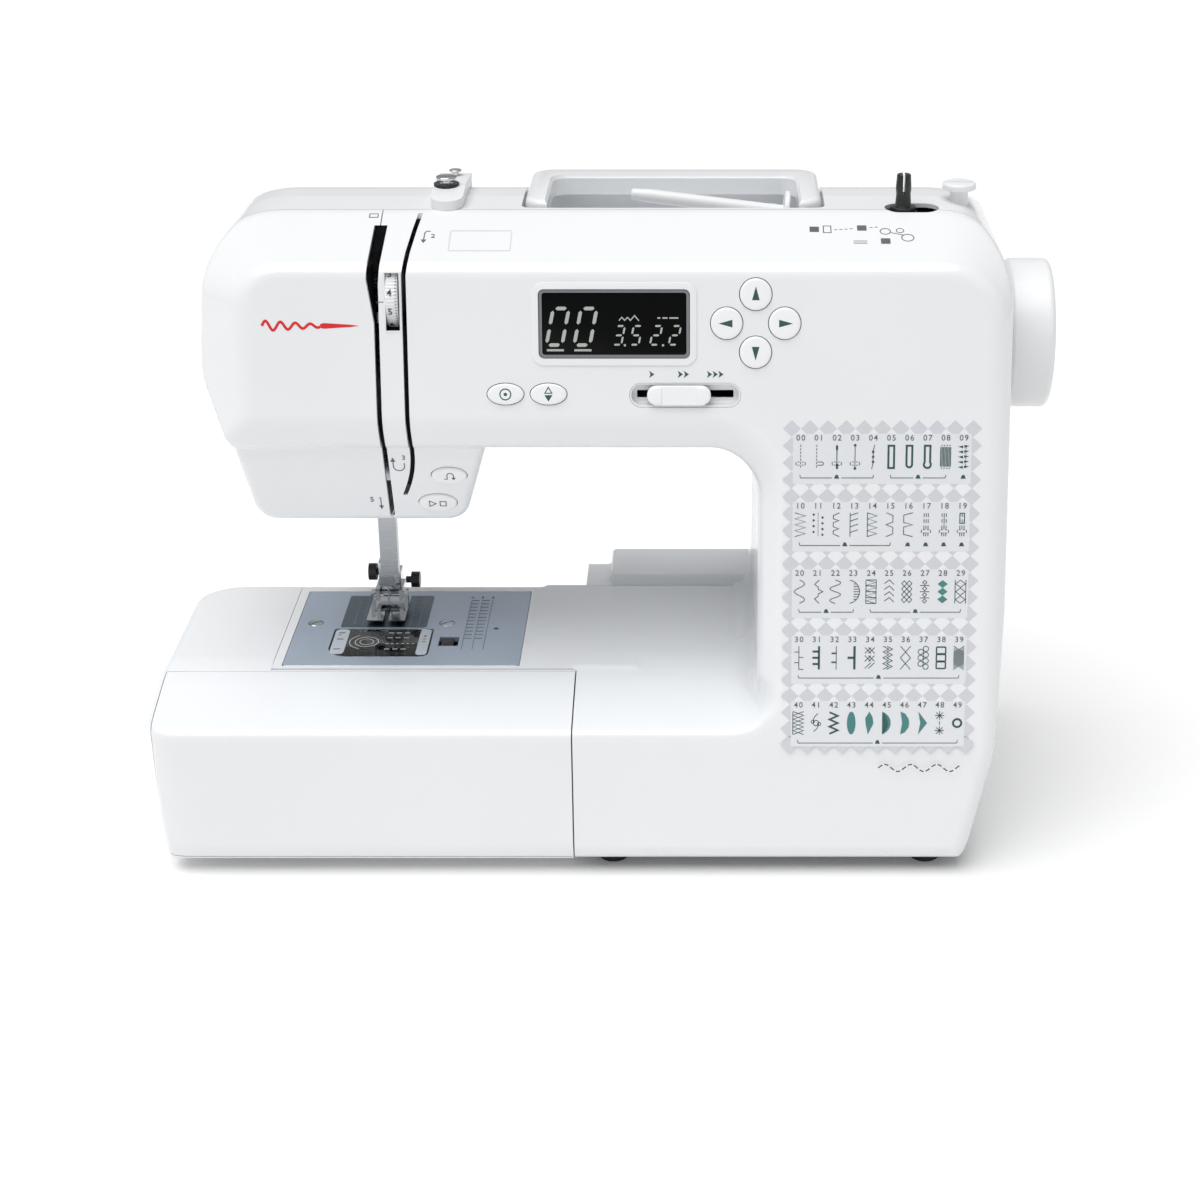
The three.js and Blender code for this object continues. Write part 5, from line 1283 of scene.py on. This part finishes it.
# ---------------------------------------------------------------- handwheel, feet and side
grip = turned([(0, 180.2, 0), (11, 180.2, 0.5), (11.5, 182, 0.5), (27, 182, 0.5), (27.5, 180, 0.6),
               (31, 180, 0.8), (33.5, 183, 2), (33.5, 201, 3.6), (27.5, 201, 1), (26.6, 200.1, 1),
               (0, 200.1, 0)], 128)
wheel = piece("handwheel_skin", moved(grip, SHAFT), SOFT_WHITE, "drive")
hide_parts("handwheel")
for name, x, y in (("foot_front_right", 146, -70), ("foot_front_left", 5, -70),
                   ("foot_rear_right", 146, 70), ("foot_rear_left", -132, 8)):
    foot = piece(name + "_skin", moved(turned([(0, 0, 0), (6.6, 0, 0.8), (8, 4.7, 0.2), (0, 4.7, 0)],
                                              40), at(x, y, 0)), RUBBER, "frame")
    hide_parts(name)

# ---------------------------------------------------------------- needle plate
PLATE_TOP = at(0, 0, BED)
PLATE_SCREWS, SCREW_Y = (-137.2, -75.4), 9.5
THROUGH = [(70, 0), (90, 0)]
plate = solid(stack(box_line(-145.7, -38, -38, 47, 2.4), soft(77.5, BED, 0.35)))
opening = fillet([(-127.3, -28.3, 10), (-80.7, -28.3, 4), (-80.7, 2.9, 1), (-127.3, 2.9, 1)], 0.6)
boolean(plate, stack(opening, THROUGH))
slots = [bar(-77.1, -67.9, -16.5, -6.5, 70, 90), stack(box_line(-107.5, -100.5, 20.9, 23.7, 1.3),
                                                       THROUGH)]
slots += [stack(box_line(NX + s * 5.5 - 1.9, NX + s * 5.5 + 1.9, 13.1, 38.1, 0.6), THROUGH)
          for s in (-1, 1)]
slots += [moved(stack(oval(2.6, 2.6, 20), THROUGH), at(-51.7, 3.1, 0))]
slots += [moved(stack(oval(7.2, 7.2, 28), [(78.6, 0), (79.4, 0), (90, -2.2)]), at(x, SCREW_Y, 0))
          for x in PLATE_SCREWS]
for tool in slots:
    boolean(plate, tool)
plate = piece("needle_plate_skin", plate, PLATE, "frame")
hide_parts("needle_plate")
inset_plate = solid(stack(box_line(-125, -84.5, 4.2, 41.6, 1.5), soft(79.8, 80.12, 0.1)))
for tool in slots[1:4]:
    boolean(inset_plate, tool)
piece("needle_plate_inset", inset_plate, PLATE_DARK, "frame")
for x in PLATE_SCREWS:
    head_piece = solid(moved(turned([(0, 77.6, 0), (3.4, 77.6, 0.1), (3.4, 80.0, 0.5), (0, 80.5, 0)],
                                    36), at(x, SCREW_Y, 0)))
    boolean(head_piece, moved(bar(-4, 4, -0.5, 0.5, 79.4, 82), at(x, SCREW_Y, 0) @ turn("Z", 35)))
    piece("plate_screw_left" if x < -100 else "plate_screw_right", head_piece, CHROME, "frame")
guide_lines = [ribbon([(x, -20), (x, 36)], 0.28) for x in (-66, -61,
        -56)] + [ribbon([(x, y), (x + 3.6, y)], 0.28) for x in (-66, -61) for y in repeat(12, 36, -8)]
guide_lines += [put(figures[c], x, 39.6, 0.8) for x, c in ((-66, "4"), (-61, "5"), (-56, "6"))]
guide_lines += [ribbon([(x, 6), (x, 40)], 0.28) for x in (-119, -115, -92.5,
        -88.5)] + [ribbon([(x, y), (x + 2, y)], 0.28) for x in (-119, -92.5) for y in repeat(8, 40, 8)]
mark("plate_guide_lines", guide_lines, INK_PLATE, "frame", PLATE_TOP, top=0.2, bottom=0.0)
cover = stack(fillet([(-127, -28, 10), (-81, -28, 4), (-81, 2.6, 1), (-127, 2.6, 1)], 0.6),
              soft(77.5, BED, 0.5, 0.2))
cover = piece("bobbin_cover_skin", cover, CLEAR, "bobbin_cover")
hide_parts("bobbin_cover_plate")
rims = [patch(box_line(-126.3, -119.8, -25.5, 2.0, 2.4)),
        patch(box_line(-86.6, -81.6, -26.5, 2.0, 2.0))]
mark("bobbin_cover_rims", rims, FROST, "bobbin_cover", PLATE_TOP, top=0.05)
path = [put(ring(5.4, 0.35), -110.5, -12), put(ring(3.2, 0.3), -110.5, -12),
        ribbon(arc(-110.5, -12, 8.0, 120, 250, 16), 0.35)]
path += [ribbon([(x, y), (x + 2.4, y)], 0.6) for y in (-2, -7.5, -20) for x in (-101.5, -97.7, -93.9)]
path += [ribbon([(x, -14), (x + 1.2, -14)], 0.5) for x in repeat(6, -101.5, -89.5)]
mark("bobbin_cover_marks", path, INK_LINE, "bobbin_cover", PLATE_TOP, top=0.08)
flange = [ribbon([(-124.8, y), (-121.8, y)], 0.9) for y in (-2, -9,
        -20)] + [ribbon([(-124.8, -4.4), (-123.2, -4.4)], 0.6), ribbon([(-84.9, -9), (-83.2, -9)], 0.7)]
flange += [ribbon([(-84.9, -12), (-83.2, -12)], 0.7),
           patch([(-84.8, -6.4), (-83.2, -6.4), (-84, -4.2)])]
mark("bobbin_cover_arrows", flange, INK_GREY, "bobbin_cover", PLATE_TOP, top=0.1)
button = joined([stack(box_line(-76.1, -70.3, -15.9, -7.1, 0.6), soft(76.2, 79.6, 0.6)),
                 stack(box_line(-78.5, -68.5, -18.5, -4.5, 0.6), [(74.5, 0), (76.3, 0)])])
release = piece("release_button_skin", button, BLACK, "release")
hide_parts("hook_cover_release")
lamp = turned([(0, 147.6, 0), (3.8, 147.6, 1.4), (4.4, 149.8, 0.2), (0, 149.8, 0)], 36)
piece("lamp_lens", moved(lamp, at(-122, -22, 0)), LED, "frame")

# ---------------------------------------------------------------- CAD nodes that stay in view
FINISH = {"base_plate": GREY, "drop_feed_lever": DARK, "feed_dog": STEEL, "rotary_hook": CHROME,
          "bobbin_holder": BLACK, "bobbin": CLEAR, "needle_bar": STEEL, "needle_clamp": CHROME,
          "needle_clamp_screw": BLACK, "needle": CHROME, "needle_threader": SOFT_WHITE,
          "presser_bar": STEEL, "foot_holder": CHROME, "foot_thumbscrew": BLACK, "presser_foot": CHROME,
          "presser_lifter": DARK, "buttonhole_lever": SOFT_WHITE, "take_up_lever": CHROME,
          "winder_carrier": DARK, "upper_shaft": STEEL, "drive_pulley": DARK, "motor": MOTOR,
          "motor_pulley": STEEL, "motor_belt": RUBBER, "timing_belt": RUBBER, "lower_shaft": STEEL,
          "chassis": CAST, "control_board": BOARD, "power_switch": BLACK, "inlet_socket": BLACK}
for name, finish in FINISH.items():
    obj = nodes[name]
    obj.data.materials.clear()
    obj.data.materials.append(finish)
    obj.data.shade_smooth()
    obj.data.set_sharp_from_angle(angle=math.radians(35))
    edge = obj.modifiers.new("edges", "BEVEL")
    edge.width = (0.35 if name in ("chassis", "base_plate", "power_switch", "inlet_socket",
                                   "presser_lifter") else 0.16) * MM
    edge.segments = 2
    edge.limit_method = "ANGLE"
    edge.angle_limit = math.radians(40)
    edge.harden_normals = True

# ---------------------------------------------------------------- camera, light and floor
camera = bpy.data.objects.new("camera", bpy.data.cameras.new("camera"))
bpy.context.scene.collection.objects.link(camera)
camera.location = (0.04735, -1.0254, 0.5418)
camera.rotation_euler = (math.radians(90 - 23.5), 0, 0)
camera.data.lens = 72
camera.data.sensor_width = 36
camera.data.shift_x = -0.0892
bpy.context.scene.camera = camera

world = bpy.data.worlds.new("studio")
world.use_nodes = True
world.node_tree.nodes["Background"].inputs["Color"].default_value = (1, 1, 1, 1)
world.node_tree.nodes["Background"].inputs["Strength"].default_value = 0.4
bpy.context.scene.world = world
bpy.context.scene.view_settings.view_transform = "Standard"


def softbox(name, where, size, power, aim=(0, 0, 0.13)):
    light = bpy.data.lights.new(name, "AREA")
    light.shape = "RECTANGLE"
    light.size, light.size_y = size
    light.energy = power
    obj = link(name, light)
    obj.location = where
    obj.rotation_euler = (Vector(aim) - Vector(where)).to_track_quat("-Z", "Y").to_euler()
    return obj


# The lamps stand to the left above, to the right, and overhead.
softbox("key", (-0.75, -0.8, 1.1), (0.5, 0.5), 0.35)
softbox("fill", (1.1, -0.7, 0.8), (0.5, 0.9), 0.2)
sun = bpy.data.lights.new("sun", "SUN")
sun.energy = 2.6
sun.angle = math.radians(60)
sun = link("sun", sun)
sun.rotation_euler = Vector((-0.2, -0.22, 0.95)).to_track_quat("Z", "Y").to_euler()
floor = mesh_from("floor", [(-6000, -6000, 0), (6000, -6000, 0), (6000, 6000, 0), (-6000, 6000, 0)],
                  [(0, 1, 2, 3)])
floor.data.materials.append(FLOOR)
